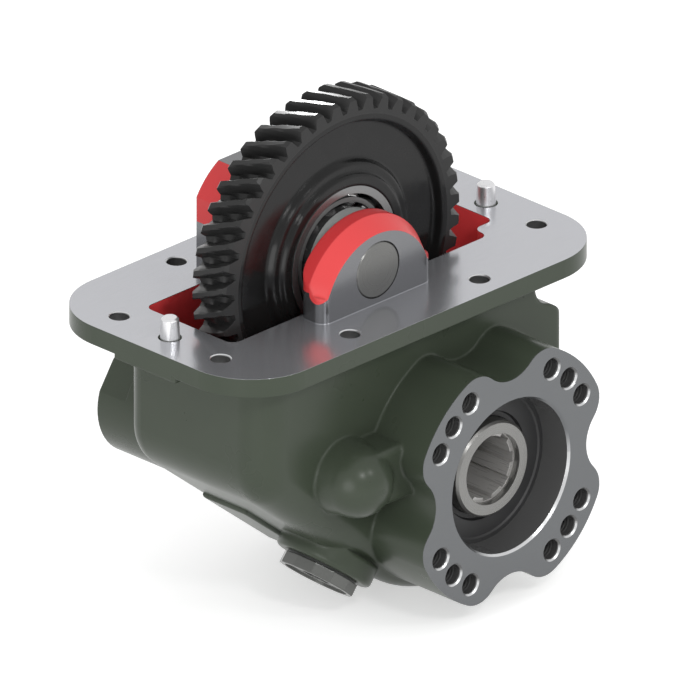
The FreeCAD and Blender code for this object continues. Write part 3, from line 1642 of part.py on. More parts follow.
pieces = [build_housing(), build_dowels(), build_idler_gear(), build_output_gear(), build_output_shaft()]
pieces += build_idler_set()
pieces += build_output_bearings()
pieces += build_seal()
pieces += build_clutch()
pieces += [build_fork(), build_rod(), build_fork_pin(), build_spring()]
pieces += build_piston()
pieces += build_actuator_cap()
pieces += build_rear_cover()
pieces += build_plug()
export(pieces)
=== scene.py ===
"""Finishes for a power take off unit: painted casting, oiled gear, ground shaft and bearings."""

import json
import math

import bmesh
import bpy
from bpy.props import FloatProperty, FloatVectorProperty, IntProperty, PointerProperty
from mathutils import Euler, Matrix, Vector


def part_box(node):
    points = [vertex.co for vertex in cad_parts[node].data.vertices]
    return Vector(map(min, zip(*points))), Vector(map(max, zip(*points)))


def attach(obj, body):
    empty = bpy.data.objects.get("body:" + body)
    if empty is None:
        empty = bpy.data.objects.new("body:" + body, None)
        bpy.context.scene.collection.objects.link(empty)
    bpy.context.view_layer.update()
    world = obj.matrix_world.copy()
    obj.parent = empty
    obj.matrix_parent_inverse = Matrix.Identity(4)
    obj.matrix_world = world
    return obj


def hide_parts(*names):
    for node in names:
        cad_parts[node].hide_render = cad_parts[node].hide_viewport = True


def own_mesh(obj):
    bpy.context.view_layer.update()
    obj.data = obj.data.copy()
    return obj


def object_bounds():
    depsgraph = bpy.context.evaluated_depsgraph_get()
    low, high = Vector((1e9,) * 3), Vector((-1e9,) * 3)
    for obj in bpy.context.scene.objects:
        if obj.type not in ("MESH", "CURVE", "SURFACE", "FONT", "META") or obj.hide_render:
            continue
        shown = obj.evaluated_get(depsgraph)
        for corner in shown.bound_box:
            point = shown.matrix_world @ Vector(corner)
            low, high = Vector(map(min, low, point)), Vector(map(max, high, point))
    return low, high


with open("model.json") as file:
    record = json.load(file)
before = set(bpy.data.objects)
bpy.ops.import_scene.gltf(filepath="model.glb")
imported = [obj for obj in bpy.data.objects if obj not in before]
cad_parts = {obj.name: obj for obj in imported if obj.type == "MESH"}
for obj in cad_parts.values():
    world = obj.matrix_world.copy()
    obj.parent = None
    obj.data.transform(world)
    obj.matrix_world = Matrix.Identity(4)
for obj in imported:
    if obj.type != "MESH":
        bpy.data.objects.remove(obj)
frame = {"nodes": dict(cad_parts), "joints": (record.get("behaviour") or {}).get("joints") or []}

bl_info = {
    "name": "Power Take Off Finishes",
    "version": (1, 0, 0),
    "blender": (4, 5, 0),
    "location": "3D View > Sidebar > Power Take Off",
    "description": "Paint, machined faces, gear, shafts, threads and studio for a power take off unit",
    "category": "Object",
}

CAD_LOW, CAD_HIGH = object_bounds()
MM = 0.001

# Places read from the frame

JOINTS = {joint["name"]: joint for joint in frame["joints"]}
GEAR_AXIS = Vector(JOINTS["input_spin"]["pos_m"])
SHAFT_AXIS = Vector(JOINTS["output_shaft_spin"]["pos_m"])
SHIFT_AXIS = (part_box("shift_rod")[0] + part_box("shift_rod")[1]) / 2
FLANGE_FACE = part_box("housing")[0].y
SEAL_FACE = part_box("oil_seal")[0].y
SOCKET_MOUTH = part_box("output_shaft")[0].y + 0.3 * MM
EAR_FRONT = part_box("idler_shaft")[0].y
EAR_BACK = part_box("idler_shaft")[1].y
NEAR_EAR_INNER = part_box("front_thrust_ring")[0].y
FAR_EAR_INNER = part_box("rear_thrust_ring")[1].y

# Sizes of the casting and the shaft that bound their finishes

PLATE_THICKNESS = 10 * MM
PLATE_HOLES = ((110 * MM, 35 * MM), (45 * MM, 60 * MM))
PLATE_HOLE_RADIUS = 5.51 * MM
PLATE_HOLE_THROAT = 5.05 * MM
PLATE_RIM_RADIUS = 6.6 * MM
PUMP_HOLE_CIRCLE = 40 * MM * math.sqrt(2)
PUMP_HOLE_ANGLES = [45 + 90 * quarter + step for quarter in range(4) for step in (-15, 0, 15)]
PUMP_HOLE_RADIUS = 6.01 * MM
PUMP_HOLE_THROAT = 5.15 * MM
PUMP_HOLE_DEPTH = 28 * MM
PUMP_RIM_RADIUS = 7 * MM
HOLE_MARGIN = 0.19 * MM
PILOT_RADIUS = 41.5 * MM
PILOT_CHAMFER = 1.3 * MM
SOCKET_RADIUS = 18.3 * MM
SOCKET_END = -34 * MM
SHIFT_BORE_RADIUS = 26.4 * MM
SHIFT_BORE_FRONT = 41.2 * MM
CASE_BACK = 28 * MM
CASE_RADIUS = 72 * MM
CASE_WALL = 5 * MM
WALL_SLOPE = math.radians(39)
CHAMBER_LOW = Vector((-98 * MM, -42 * MM, SHAFT_AXIS.z - 66 * MM))
CHAMBER_HIGH = Vector((102 * MM, 36 * MM, -0.3 * MM))
CHAMBER_CENTRE = Vector((0, -3 * MM, -60 * MM))
EAR_ROUND_HEIGHT = 1 * MM
EAR_BORE_RADIUS = 16 * MM
RIM_FOOT = 15 * MM
BEVEL_DEPTH = 9.3 * MM
BEVEL_RADIUS = 36.45 * MM
BEVEL_FOOT = 14.8 * MM
TONGUE_MIDDLE = -39.8 * MM
TONGUE_HALF_WIDTH = 4.7 * MM
TONGUE_LENGTH = 4.4 * MM
FAR_RED_LOW = 27 * MM
FAR_RED_HIGH = 54.9 * MM

# Other sizes

TOOTH_ZONE = 10 * MM
TURNING_PITCH = 0.5 * MM
COUNTERSINK_SIDES = 40
FLOOR_HALF = 4.0
FLOOR_GLOW = 0.5
CAMERA_DISTANCE = 1.5


class PaintSettings(bpy.types.PropertyGroup):
    """Colours and texture of the painted casting."""

    green: FloatVectorProperty(
        name="Green paint", description="Outside of the casting", subtype="COLOR",
        size=3, min=0, max=1, default=(0.047, 0.059, 0.041))
    red: FloatVectorProperty(
        name="Red paint", description="Rims of the ears", subtype="COLOR",
        size=3, min=0, max=1, default=(0.64, 0.046, 0.05))
    # Lighter copy of the red paint: painted light inside the shaded gear window
    window_red_painted_light: FloatVectorProperty(
        name="Window red", description="Paint inside the gear window", subtype="COLOR",
        size=3, min=0, max=1, default=(0.88, 0.075, 0.08))
    # Lighter copy of the red paint: painted highlight on the near ear's bevel, which faces the light
    bevel_red_painted_light: FloatVectorProperty(
        name="Bevel red", description="Bevel of the near ear", subtype="COLOR",
        size=3, min=0, max=1, default=(0.74, 0.066, 0.068))
    roughness: FloatProperty(
        name="Paint roughness", description="Satin of the paint", subtype="FACTOR",
        min=0, max=1, default=0.29)
    grain: FloatProperty(
        name="Casting grain", description="Size of the sand grain under the paint",
        unit="LENGTH", min=0.0002, max=0.01, default=0.0016)
    gloss: FloatProperty(
        name="Paint gloss", description="Strength of the paint's mirror part", subtype="FACTOR",
        min=0, max=1, default=0.26)
    edge: FloatProperty(
        name="Plate edge", description="How wide the paint rounds the plate's edges",
        unit="LENGTH", min=0.0001, max=0.005, default=0.0008)
    cast_edge: FloatProperty(
        name="Cast edge", description="How wide the paint rounds the edges of the cast body",
        unit="LENGTH", min=0.0001, max=0.006, default=0.0028)


class SteelSettings(bpy.types.PropertyGroup):
    """Colours of the bare and blackened steels."""

    plate_face: FloatVectorProperty(
        name="Mounting face", description="Machined top of the plate", subtype="COLOR",
        size=3, min=0, max=1, default=(0.5, 0.505, 0.53))
    # Darker copy of the machined steel: painted shade on the upright flange face
    flange_face: FloatVectorProperty(
        name="Pump flange face", description="Machined face of the pump flange", subtype="COLOR",
        size=3, min=0, max=1, default=(0.15, 0.155, 0.16))
    # Darker copy of the machined steel: painted shade on the ears' faces
    ear_face: FloatVectorProperty(
        name="Ear faces", description="Machined faces of the two ears", subtype="COLOR",
        size=3, min=0, max=1, default=(0.19, 0.192, 0.2))
    # Shown only on the side of each cone that faces up and left, as a painted highlight
    countersink: FloatVectorProperty(
        name="Countersinks", description="Bright cones at the mouths of the holes", subtype="COLOR",
        size=3, min=0, max=1, default=(0.6, 0.605, 0.61))
    # Painted shade: the walls of the holes and of the pilot bore are darker than the faces they are cut in
    hole: FloatVectorProperty(
        name="Hole depths", description="Walls of the holes and of the pilot bore", subtype="COLOR",
        size=3, min=0, max=1, default=(0.13, 0.13, 0.13))
    gear: FloatVectorProperty(
        name="Gear black", description="Black oxide of the gears", subtype="COLOR",
        size=3, min=0, max=1, default=(0.009, 0.009, 0.009))
    shaft: FloatVectorProperty(
        name="Shaft steel", description="Ground steel of the output shaft", subtype="COLOR",
        size=3, min=0, max=1, default=(0.23, 0.228, 0.22))
    bright: FloatVectorProperty(
        name="Bright steel", description="Dowel pins", subtype="COLOR",
        size=3, min=0, max=1, default=(0.72, 0.72, 0.73))
    ring: FloatVectorProperty(
        name="Ring steel", description="Bearing rings", subtype="COLOR",
        size=3, min=0, max=1, default=(0.2, 0.2, 0.2))
    # Lighter than the shaft: painted light in the shade of the splined socket
    socket_painted_light: FloatVectorProperty(
        name="Broached steel", description="Walls of the shaft's splined socket", subtype="COLOR",
        size=3, min=0, max=1, default=(0.42, 0.412, 0.4))
    metal: FloatProperty(
        name="Metal share", description="How much of a bare face mirrors like metal", subtype="FACTOR",
        min=0, max=1, default=0.78)


class ThreadSettings(bpy.types.PropertyGroup):
    """Sizes of the tapped holes in the pump flange."""

    pitch: FloatProperty(
        name="Thread pitch", description="Distance from one thread to the next",
        unit="LENGTH", min=0.0005, max=0.004, default=0.00175)
    start: FloatProperty(
        name="Thread start", description="Plain wall between the flange face and the first thread",
        unit="LENGTH", min=0.0008, max=0.01, default=0.005)
    depth: FloatProperty(
        name="Thread length", description="How far the threads go down the hole",
        unit="LENGTH", min=0.002, max=0.03, default=0.018)
    height: FloatProperty(
        name="Thread height", description="How far the thread stands into the hole",
        unit="LENGTH", min=0.0002, max=0.002, default=0.0004)
    steps: IntProperty(
        name="Steps a turn", description="Faces in one turn of the thread", min=8, max=64, default=28)


class StageSettings(bpy.types.PropertyGroup):
    """Camera, lights and floor of the studio."""

    azimuth: FloatProperty(
        name="Camera azimuth", description="Turn of the camera about the vertical",
        subtype="ANGLE", default=math.radians(-45.2))
    elevation: FloatProperty(
        name="Camera elevation", description="Height of the camera above the level",
        subtype="ANGLE", default=math.radians(25.0))
    width: FloatProperty(
        name="View width", description="Width that the level view takes in", unit="LENGTH", default=0.3434)
    aim_right: FloatProperty(
        name="Aim right", description="Centre of the view to the right of the origin",
        unit="LENGTH", default=0.01079)
    aim_up: FloatProperty(
        name="Aim up", description="Centre of the view above the origin", unit="LENGTH", default=-0.03925)
    daylight: FloatProperty(
        name="Daylight", description="Even light from all sides", min=0, max=2, default=0.85)
    key_power: FloatProperty(
        name="Key lamp", description="Lamp high in front", unit="POWER", min=0, default=0.6)
    fill_power: FloatProperty(
        name="Fill lamp", description="Lamp in front that catches the rims of the holes",
        unit="POWER", min=0, default=1.2)
    left_power: FloatProperty(
        name="Left lamp", description="Lamp on the left", unit="POWER", min=0, default=1.9)
    glint_power: FloatProperty(
        name="Glint lamp", description="Small lamp behind that lights only the gear, most of all its top",
        unit="POWER", min=0, default=9.0)


# Node helpers


def add_node(tree, kind, inputs=(), **settings):
    """Add a node, with its settings, and set or link its inputs by name or number."""
    node = tree.nodes.new(kind)
    for name, value in settings.items():
        setattr(node, name, value)
    for socket, value in dict(inputs).items():
        if isinstance(value, bpy.types.NodeSocket):
            tree.links.new(value, node.inputs[socket])
        else:
            node.inputs[socket].default_value = value
    return node


def math_node(tree, operation, *values):
    """Result of a Math node on sockets or numbers."""
    return add_node(tree, "ShaderNodeMath", enumerate(values), operation=operation).outputs[0]


def colour(values):
    """Colour with full alpha."""
    return (*values, 1.0)


def soft_step(tree, value, low, high):
    """0 below low, 1 above high, smooth between them."""
    node = add_node(tree, "ShaderNodeMapRange", {"Value": value, "From Min": low, "From Max": high},
                    interpolation_type="SMOOTHSTEP")
    return node.outputs["Result"]


def over(tree, value, limit):
    """1 where a value is over a limit, with an edge a tenth of a millimetre wide."""
    return soft_step(tree, value, limit - 0.05 * MM, limit + 0.05 * MM)


def under(tree, value, limit):
    """1 where a value is under a limit."""
    return soft_step(tree, value, limit + 0.05 * MM, limit - 0.05 * MM)


def all_of(tree, *masks):
    """Product of masks."""
    result = masks[0]
    for mask in masks[1:]:
        result = math_node(tree, "MULTIPLY", result, mask)
    return result


def any_of(tree, *masks):
    """Largest of masks."""
    result = masks[0]
    for mask in masks[1:]:
        result = math_node(tree, "MAXIMUM", result, mask)
    return result


def blend_values(tree, mask, below, above):
    """Number that goes from one value to another with a mask."""
    node = add_node(tree, "ShaderNodeMix", {0: mask, 2: below, 3: above}, data_type="FLOAT")
    return node.outputs[0]


def blend_colours(tree, mask, below, above, mode="MIX"):
    """Colour that goes from one to another with a mask."""
    node = add_node(tree, "ShaderNodeMix", {0: mask, 6: below, 7: above}, data_type="RGBA", blend_type=mode)
    return node.outputs[2]


def shades(tree, mask, base, dark, light):
    """Colour that goes from a darker to a lighter share of itself with a mask."""
    return blend_colours(tree, mask, colour([value * dark for value in base]),
                         colour([value * light for value in base]))


def noise(tree, place, size, detail=2.0, stretch=(1, 1, 1)):
    """Noise from 0 to 1 whose grain is about a size in metres."""
    scaled = add_node(tree, "ShaderNodeMapping", {"Vector": place, "Scale": stretch})
    node = add_node(tree, "ShaderNodeTexNoise",
                    {"Vector": scaled.outputs[0], "Scale": 1 / size, "Detail": detail})
    return node.outputs["Fac"]


def bump(tree, height, distance, strength=1.0, normal=None):
    """Bump from a height, over another normal."""
    inputs = {"Height": height, "Distance": distance, "Strength": strength}
    if normal is not None:
        inputs["Normal"] = normal
    return add_node(tree, "ShaderNodeBump", inputs).outputs[0]


def soft_edges(tree, radius, samples=6):
    """Normal that rounds the edges."""
    return add_node(tree, "ShaderNodeBevel", {"Radius": radius}, samples=samples).outputs[0]


def new_surface(name):
    """Material with a Principled shader; gives the material, its tree and the shader."""
    material = bpy.data.materials.new(name)
    material.use_nodes = True
    return material, material.node_tree, material.node_tree.nodes["Principled BSDF"]


def drive(tree, shader, **sockets):
    """Link or set the shader's sockets."""
    for name, value in sockets.items():
        socket = shader.inputs[name.replace("_", " ")]
        if isinstance(value, bpy.types.NodeSocket):
            tree.links.new(value, socket)
        else:
            socket.default_value = value


def object_place(tree):
    """Place and normal in the object's own axes."""
    coordinates = add_node(tree, "ShaderNodeTexCoord")
    return coordinates.outputs["Object"], coordinates.outputs["Normal"]


def separate(tree, vector):
    """The three parts of a vector."""
    return add_node(tree, "ShaderNodeSeparateXYZ", {0: vector}).outputs[:3]


def sum_of_squares(tree, across, upward):
    """Squared length of two parts at right angles."""
    return math_node(tree, "ADD", math_node(tree, "MULTIPLY", across, across),
                     math_node(tree, "MULTIPLY", upward, upward))


def distance_from_axis(tree, x, z, axis):
    """Distance in (x, z) from an axis along Y, and its two parts."""
    across = math_node(tree, "SUBTRACT", x, axis.x)
    upward = math_node(tree, "SUBTRACT", z, axis.z)
    return math_node(tree, "SQRT", sum_of_squares(tree, across, upward)), across, upward


def turning_marks(tree, radius, y):
    """Rings from 0 to 1, as a lathe leaves them on ends and round sides."""
    along = math_node(tree, "ADD", radius, y)
    return add_node(tree, "ShaderNodeTexNoise", {"W": along, "Scale": 1 / TURNING_PITCH, "Detail": 2.0},
                    noise_dimensions="1D").outputs["Fac"]


def seen_rays(tree):
    """1 for rays from the camera, from gloss and through glass, 0 for the rest."""
    path = add_node(tree, "ShaderNodeLightPath")
    return any_of(tree, path.outputs["Is Camera Ray"], path.outputs["Is Glossy Ray"],
                  path.outputs["Is Transmission Ray"])


def dress(names, material):
    """Give CAD nodes a material in every slot."""
    for name in names:
        node = frame["nodes"][name]
        if not node.data.materials:
            node.data.materials.append(material)
        for slot in node.material_slots:
            slot.material = material


# Finishes


def painted_highlight_side(tree, normal):
    """Mask of a painted highlight: 1 on the part of a hole's cone that faces up and to the left, 0 on the
    other.
    """
    across, _, upward = separate(tree, normal)
    return soft_step(tree, math_node(tree, "MULTIPLY_ADD", across, -0.6, upward), 0.15, 0.6)


def countersink_steel(steels):
    """Freshly cut cones, with a painted highlight where they face up and to the left and painted shade in
    the hole colour on the other side.
    """
    material, tree, shader = new_surface("countersink_steel")
    place, normal = object_place(tree)
    fine = noise(tree, place, 0.6 * MM, 3.0)
    bright = shades(tree, fine, steels.countersink, 0.95, 1.0)
    # Painted highlight and shade: cut steel on the side that faces up and left, the darker hole colour on
    # the other
    tone = blend_colours(tree, painted_highlight_side(tree, normal), colour(steels.hole), bright)
    rough = math_node(tree, "MULTIPLY_ADD", fine, 0.1, 0.25)
    drive(tree, shader, Base_Color=tone, Roughness=rough, Metallic=steels.metal,
          Normal=bump(tree, fine, 0.01 * MM, 0.5))
    return material


def bare_steel(name, base, roughness, grain=0.6 * MM, spread=0.12, ringed=None, edge=0.25 * MM, metal=0.8):
    """Bare steel with fine marks; ringed is an axis about which turning marks run."""
    material, tree, shader = new_surface(name)
    place, _ = object_place(tree)
    cloud = noise(tree, place, 14 * MM, 3.0)
    fine = noise(tree, place, grain, 3.0)
    tone = math_node(tree, "ADD", 1 - spread / 2, math_node(tree, "MULTIPLY", cloud, spread))
    base_colour = blend_colours(tree, 1.0, colour(base), tone, "MULTIPLY")
    rough = math_node(tree, "MULTIPLY_ADD", fine, 0.16, roughness - 0.08)
    height = fine
    if ringed is not None:
        x, y, z = separate(tree, place)
        radius, _, _ = distance_from_axis(tree, x, z, ringed)
        marks = turning_marks(tree, radius, y)
        height = math_node(tree, "ADD", marks, math_node(tree, "MULTIPLY", fine, 0.3))
        rough = math_node(tree, "MULTIPLY_ADD", marks, 0.14, roughness - 0.07)
    normal = bump(tree, height, 0.012 * MM, 0.6, soft_edges(tree, edge))
    drive(tree, shader, Base_Color=base_colour, Roughness=rough, Normal=normal, Metallic=metal)
    return material


def shaft_steel(steels):
    """Ground shaft with turning marks outside and a socket painted lighter, as painted light inside its
    shade.
    """
    material, tree, shader = new_surface("ground_shaft_steel")
    place, _ = object_place(tree)
    x, y, z = separate(tree, place)
    radius, _, _ = distance_from_axis(tree, x, z, SHAFT_AXIS)
    socket = all_of(tree, under(tree, radius, SOCKET_RADIUS), under(tree, y, SOCKET_END),
                    over(tree, y, SOCKET_MOUTH))
    marks = turning_marks(tree, radius, y)
    scores = noise(tree, place, 0.5 * MM, 2.0, (1, 0.03, 1))
    cloud = noise(tree, place, 14 * MM, 3.0)
    tone = shades(tree, cloud, steels.shaft, 0.95, 1.05)
    # Painted light: the socket takes a lighter steel than the shaft
    tone = blend_colours(tree, socket, tone, colour(steels.socket_painted_light))
    rough = math_node(tree, "MULTIPLY_ADD", blend_values(tree, socket, marks, scores), 0.14, 0.22)
    height = blend_values(tree, socket, marks, math_node(tree, "MULTIPLY", scores, 0.4))
    normal = bump(tree, height, 0.01 * MM, 0.5, soft_edges(tree, 0.4 * MM))
    drive(tree, shader, Base_Color=tone, Roughness=rough, Normal=normal,
          Metallic=blend_values(tree, socket, steels.metal, 0.35))
    return material


def black_steel(name, base, roughness, axis, web):
    """Black oxide under a film of oil, painted lighter in the teeth; inside the web radius the turned
    corners are round.
    """
    material, tree, shader = new_surface(name)
    place, _ = object_place(tree)
    x, _, z = separate(tree, place)
    radius, _, _ = distance_from_axis(tree, x, z, axis)
    cloud = noise(tree, place, 9 * MM, 4.0)
    fine = noise(tree, place, 0.8 * MM, 3.0)
    oil = soft_step(tree, cloud, 0.35, 0.7)
    tone = shades(tree, oil, base, 1.2, 1.0)
    in_teeth = over(tree, radius, web)
    # Painted light: the teeth take a lighter copy of the black oxide than the web
    tone = blend_colours(tree, in_teeth, tone, colour([value * 2.6 for value in base]))
    rough = math_node(tree, "ADD", blend_values(tree, oil, roughness + 0.04, roughness - 0.03),
                      math_node(tree, "MULTIPLY", in_teeth, 0.17))
    edges = soft_edges(tree, blend_values(tree, in_teeth, 2.4 * MM, 0.12 * MM), 8)
    normal = bump(tree, fine, 0.002 * MM, 0.3, edges)
    drive(tree, shader, Base_Color=tone, Roughness=rough, Normal=normal, Metallic=0.0,
          Specular_IOR_Level=0.22)
    return material


def soft_surface(name, base, roughness, grain, depth):
    """Rubber, paper or like surface with a fine grain."""
    material, tree, shader = new_surface(name)
    place, _ = object_place(tree)
    fine = noise(tree, place, grain, 4.0)
    cloud = noise(tree, place, grain * 12, 2.0)
    tone = shades(tree, cloud, base, 0.8, 1.2)
    rough = math_node(tree, "MULTIPLY_ADD", fine, 0.2, roughness - 0.1)
    drive(tree, shader, Base_Color=tone, Roughness=rough, Normal=bump(tree, fine, depth), Metallic=0.0)
    return material


# Zones of the casting


def window_mask(tree, x, y, z, normal):
    """Faces inside the window and the gear chamber."""
    low, high = CHAMBER_LOW, CHAMBER_HIGH
    inside = all_of(tree, over(tree, y, low.y), under(tree, y, high.y), over(tree, x, low.x),
                    under(tree, x, high.x), over(tree, z, low.z), under(tree, z, high.z))
    outward = 0
    for part, value, middle in zip(separate(tree, normal), (x, y, z), CHAMBER_CENTRE):
        offset = math_node(tree, "SUBTRACT", value, middle)
        outward = math_node(tree, "MULTIPLY_ADD", part, offset, outward)
    inner = CASE_RADIUS - CASE_WALL
    radius, across, upward = distance_from_axis(tree, x, z, SHAFT_AXIS)
    depth = math_node(tree, "ADD", math_node(tree, "MULTIPLY", across, -math.sin(WALL_SLOPE)),
                      math_node(tree, "MULTIPLY", upward, -math.cos(WALL_SLOPE)))
    round_case = any_of(tree, under(tree, radius, inner), over(tree, upward, 0.0), under(tree, across, 0.0))
    return all_of(tree, inside, under(tree, outward, 0.0), under(tree, depth, inner), round_case)


def plate_hole_masks(tree, x, y, z):
    """Walls of the plate's bolt holes, and the plate's top close round them."""
    across, along = math_node(tree, "ABSOLUTE", x), math_node(tree, "ABSOLUTE", y)
    flat = add_node(tree, "ShaderNodeCombineXYZ", {0: across, 1: along}).outputs[0]
    closest = None
    for hole in PLATE_HOLES:
        away = add_node(tree, "ShaderNodeVectorMath", {0: (*hole, 0), 1: flat},
                        operation="DISTANCE").outputs["Value"]
        closest = away if closest is None else math_node(tree, "MINIMUM", closest, away)
    in_plate = all_of(tree, over(tree, z, -PLATE_THICKNESS + 0.2 * MM), under(tree, z, 0.2 * MM))
    wall = all_of(tree, in_plate, under(tree, closest, PLATE_HOLE_RADIUS + HOLE_MARGIN),
                  under(tree, z, -0.35 * MM))
    return wall, all_of(tree, in_plate, under(tree, closest, PLATE_RIM_RADIUS))


def pump_hole_masks(tree, across, upward, y):
    """Walls of the pump flange's tapped holes, and the face close round them."""
    near = []
    for degrees in PUMP_HOLE_ANGLES:
        angle = math.radians(degrees)
        along = math_node(tree, "SUBTRACT", across, PUMP_HOLE_CIRCLE * math.cos(angle))
        beside = math_node(tree, "SUBTRACT", upward, PUMP_HOLE_CIRCLE * math.sin(angle))
        near.append(sum_of_squares(tree, along, beside))
    closest = near[0]
    for squares in near[1:]:
        closest = math_node(tree, "MINIMUM", closest, squares)
    away = math_node(tree, "SQRT", closest)
    depth = under(tree, y, FLANGE_FACE + PUMP_HOLE_DEPTH)
    wall = all_of(tree, under(tree, away, PUMP_HOLE_RADIUS + HOLE_MARGIN), depth,
                  over(tree, y, FLANGE_FACE + 0.7 * MM))
    return wall, all_of(tree, under(tree, away, PUMP_RIM_RADIUS), depth)


def ear_masks(tree, x, y, z):
    """Red rims, pale bevel and machined faces of the two ears."""
    above = over(tree, z, 0.2 * MM)
    near = all_of(tree, above, under(tree, y, NEAR_EAR_INNER + 0.3 * MM))
    far = all_of(tree, above, over(tree, y, FAR_EAR_INNER - 0.3 * MM))
    radius, _, _ = distance_from_axis(tree, x, z, Vector((GEAR_AXIS.x, 0, EAR_ROUND_HEIGHT)))
    front = under(tree, y, EAR_FRONT + 0.1 * MM)
    across = math_node(tree, "DIVIDE", math_node(tree, "SUBTRACT", y, TONGUE_MIDDLE), TONGUE_HALF_WIDTH)
    arc = math_node(tree, "SUBTRACT", 1.0, math_node(tree, "MULTIPLY", across, across))
    half_round = math_node(tree, "SQRT", math_node(tree, "MAXIMUM", arc, 0.0))
    tongue = math_node(tree, "MULTIPLY", half_round, TONGUE_LENGTH)
    above_foot = over(tree, math_node(tree, "ADD", z, tongue), BEVEL_FOOT)
    bevel = all_of(tree, near, under(tree, y, EAR_FRONT + BEVEL_DEPTH), over(tree, radius, BEVEL_RADIUS),
                   above_foot)
    bore, _, _ = distance_from_axis(tree, x, z, GEAR_AXIS)
    off_bore = over(tree, bore, EAR_BORE_RADIUS)
    rim = all_of(tree, near, over(tree, z, RIM_FOOT), under(tree, front, 0.5), under(tree, bevel, 0.5),
                 off_bore)
    inner = all_of(tree, near, over(tree, y, NEAR_EAR_INNER - 0.1 * MM), off_bore)
    far_red = all_of(tree, far, over(tree, z, FAR_RED_LOW), under(tree, z, FAR_RED_HIGH), off_bore,
                     under(tree, y, EAR_BACK - 0.1 * MM))
    bare = all_of(tree, above, under(tree, any_of(tree, bevel, rim, inner, far_red), 0.5))
    return any_of(tree, rim, inner, far_red), bevel, bare


def painted_casting(settings, steels):
    """The casting's finish: satin green outside, red inside, bare where it is machined, with painted light
    and shade in parts of the red and the bare steel.
    """
    material, tree, shader = new_surface("painted_casting")
    place, normal = object_place(tree)
    x, y, z = separate(tree, place)
    radius, across, upward = distance_from_axis(tree, x, z, SHAFT_AXIS)
    shift_radius, _, _ = distance_from_axis(tree, x, z, SHIFT_AXIS)
    plate_top = all_of(tree, over(tree, z, -0.07 * MM), under(tree, z, 0.2 * MM))
    flange = under(tree, y, FLANGE_FACE + 0.25 * MM)
    pilot = all_of(tree, under(tree, y, SEAL_FACE + 1 * MM), under(tree, radius, PILOT_RADIUS))
    bores = all_of(tree, over(tree, y, SHIFT_BORE_FRONT), under(tree, shift_radius, SHIFT_BORE_RADIUS))
    pump_holes, pump_rims = pump_hole_masks(tree, across, upward, y)
    plate_holes, plate_rims = plate_hole_masks(tree, x, y, z)
    holes = any_of(tree, plate_holes, pump_holes)
    rims = any_of(tree, plate_rims, pump_rims)
    # Painted highlight: the pilot's chamfer is bright only on the side that faces up and to the left
    pilot_rim_highlight = all_of(tree, pilot, under(tree, y, FLANGE_FACE + PILOT_CHAMFER),
                       over(tree, y, FLANGE_FACE + 0.08 * MM), painted_highlight_side(tree, normal))
    # Mask of the painted shade: the holes and the pilot bore beyond its chamfer
    shaded = any_of(tree, holes, all_of(tree, pilot, over(tree, y, FLANGE_FACE + PILOT_CHAMFER)))
    window = window_mask(tree, x, y, z, normal)
    red, bevel, bare_ears = ear_masks(tree, x, y, z)
    bare = any_of(tree, plate_top, bare_ears, flange, pilot, bores, holes, rims)
    painted = math_node(tree, "SUBTRACT", 1.0, bare)

    cloud = noise(tree, place, 30 * MM, 3.0)
    grain = noise(tree, place, settings.grain, 3.0)
    orange_peel = noise(tree, place, 0.7 * MM, 1.0)
    milling = noise(tree, place, 0.7 * MM, 3.0, (0.05, 1.0, 1.0))
    green = shades(tree, cloud, settings.green, 0.92, 1.08)
    # Painted light: the window's shaded inside takes a lighter copy of the red paint
    tone = blend_colours(tree, window, green, colour(settings.window_red_painted_light))
    tone = blend_colours(tree, red, tone, colour(settings.red))
    # Painted highlight: the bevel takes a lighter copy of the red paint
    tone = blend_colours(tree, bevel, tone, colour(settings.bevel_red_painted_light))
    light_steel = shades(tree, milling, steels.plate_face, 0.94, 1.05)
    # Painted shade: the flange, pilot and pump rims take a darker copy of the machined steel
    steel_in_painted_shade = shades(tree, milling, steels.flange_face, 0.94, 1.05)
    steel = blend_colours(tree, any_of(tree, flange, pilot, pump_rims), light_steel, steel_in_painted_shade)
    # Painted shade on the ears' bare faces
    steel = blend_colours(tree, bare_ears, steel, colour(steels.ear_face))
    # Painted shade in the holes and the pilot bore
    steel = blend_colours(tree, shaded, steel, colour(steels.hole))
    # Painted highlight on the pilot's chamfer
    steel = blend_colours(tree, pilot_rim_highlight, steel, colour(steels.countersink))
    tone = blend_colours(tree, bare, tone, steel)

    paint_rough = math_node(tree, "MULTIPLY_ADD", cloud, 0.12, settings.roughness - 0.06)
    steel_rough = math_node(tree, "MULTIPLY_ADD", milling, 0.08, 0.17)
    rough = blend_values(tree, bare, paint_rough, steel_rough)
    below = soft_step(tree, z, -PLATE_THICKNESS - 0.5 * MM, -PLATE_THICKNESS - 4 * MM)
    cast_body = all_of(tree, below, over(tree, y, FLANGE_FACE + 5 * MM), under(tree, y, CASE_BACK))
    ear_foot = all_of(tree, any_of(tree, bevel, red), over(tree, z, 1 * MM), under(tree, z, 20 * MM))
    soft = any_of(tree, cast_body, ear_foot)
    crisp = blend_values(tree, rims, 0.12 * MM, 0.3 * MM)
    width = blend_values(tree, painted, crisp, settings.edge)
    edges = soft_edges(tree, blend_values(tree, soft, width, settings.cast_edge), 8)
    texture = math_node(tree, "MULTIPLY_ADD", grain, 0.7, math_node(tree, "MULTIPLY", orange_peel, 0.3))
    height = blend_values(tree, bare, texture, math_node(tree, "MULTIPLY", milling, 0.1))
    surface = bump(tree, height, 0.05 * MM, 0.4, edges)
    metal = math_node(tree, "MULTIPLY", bare, blend_values(tree, shaded, steels.metal, 0.35))
    drive(tree, shader, Base_Color=tone, Roughness=rough, Metallic=metal, Normal=surface,
          Specular_IOR_Level=settings.gloss)
    return material


# Shapes


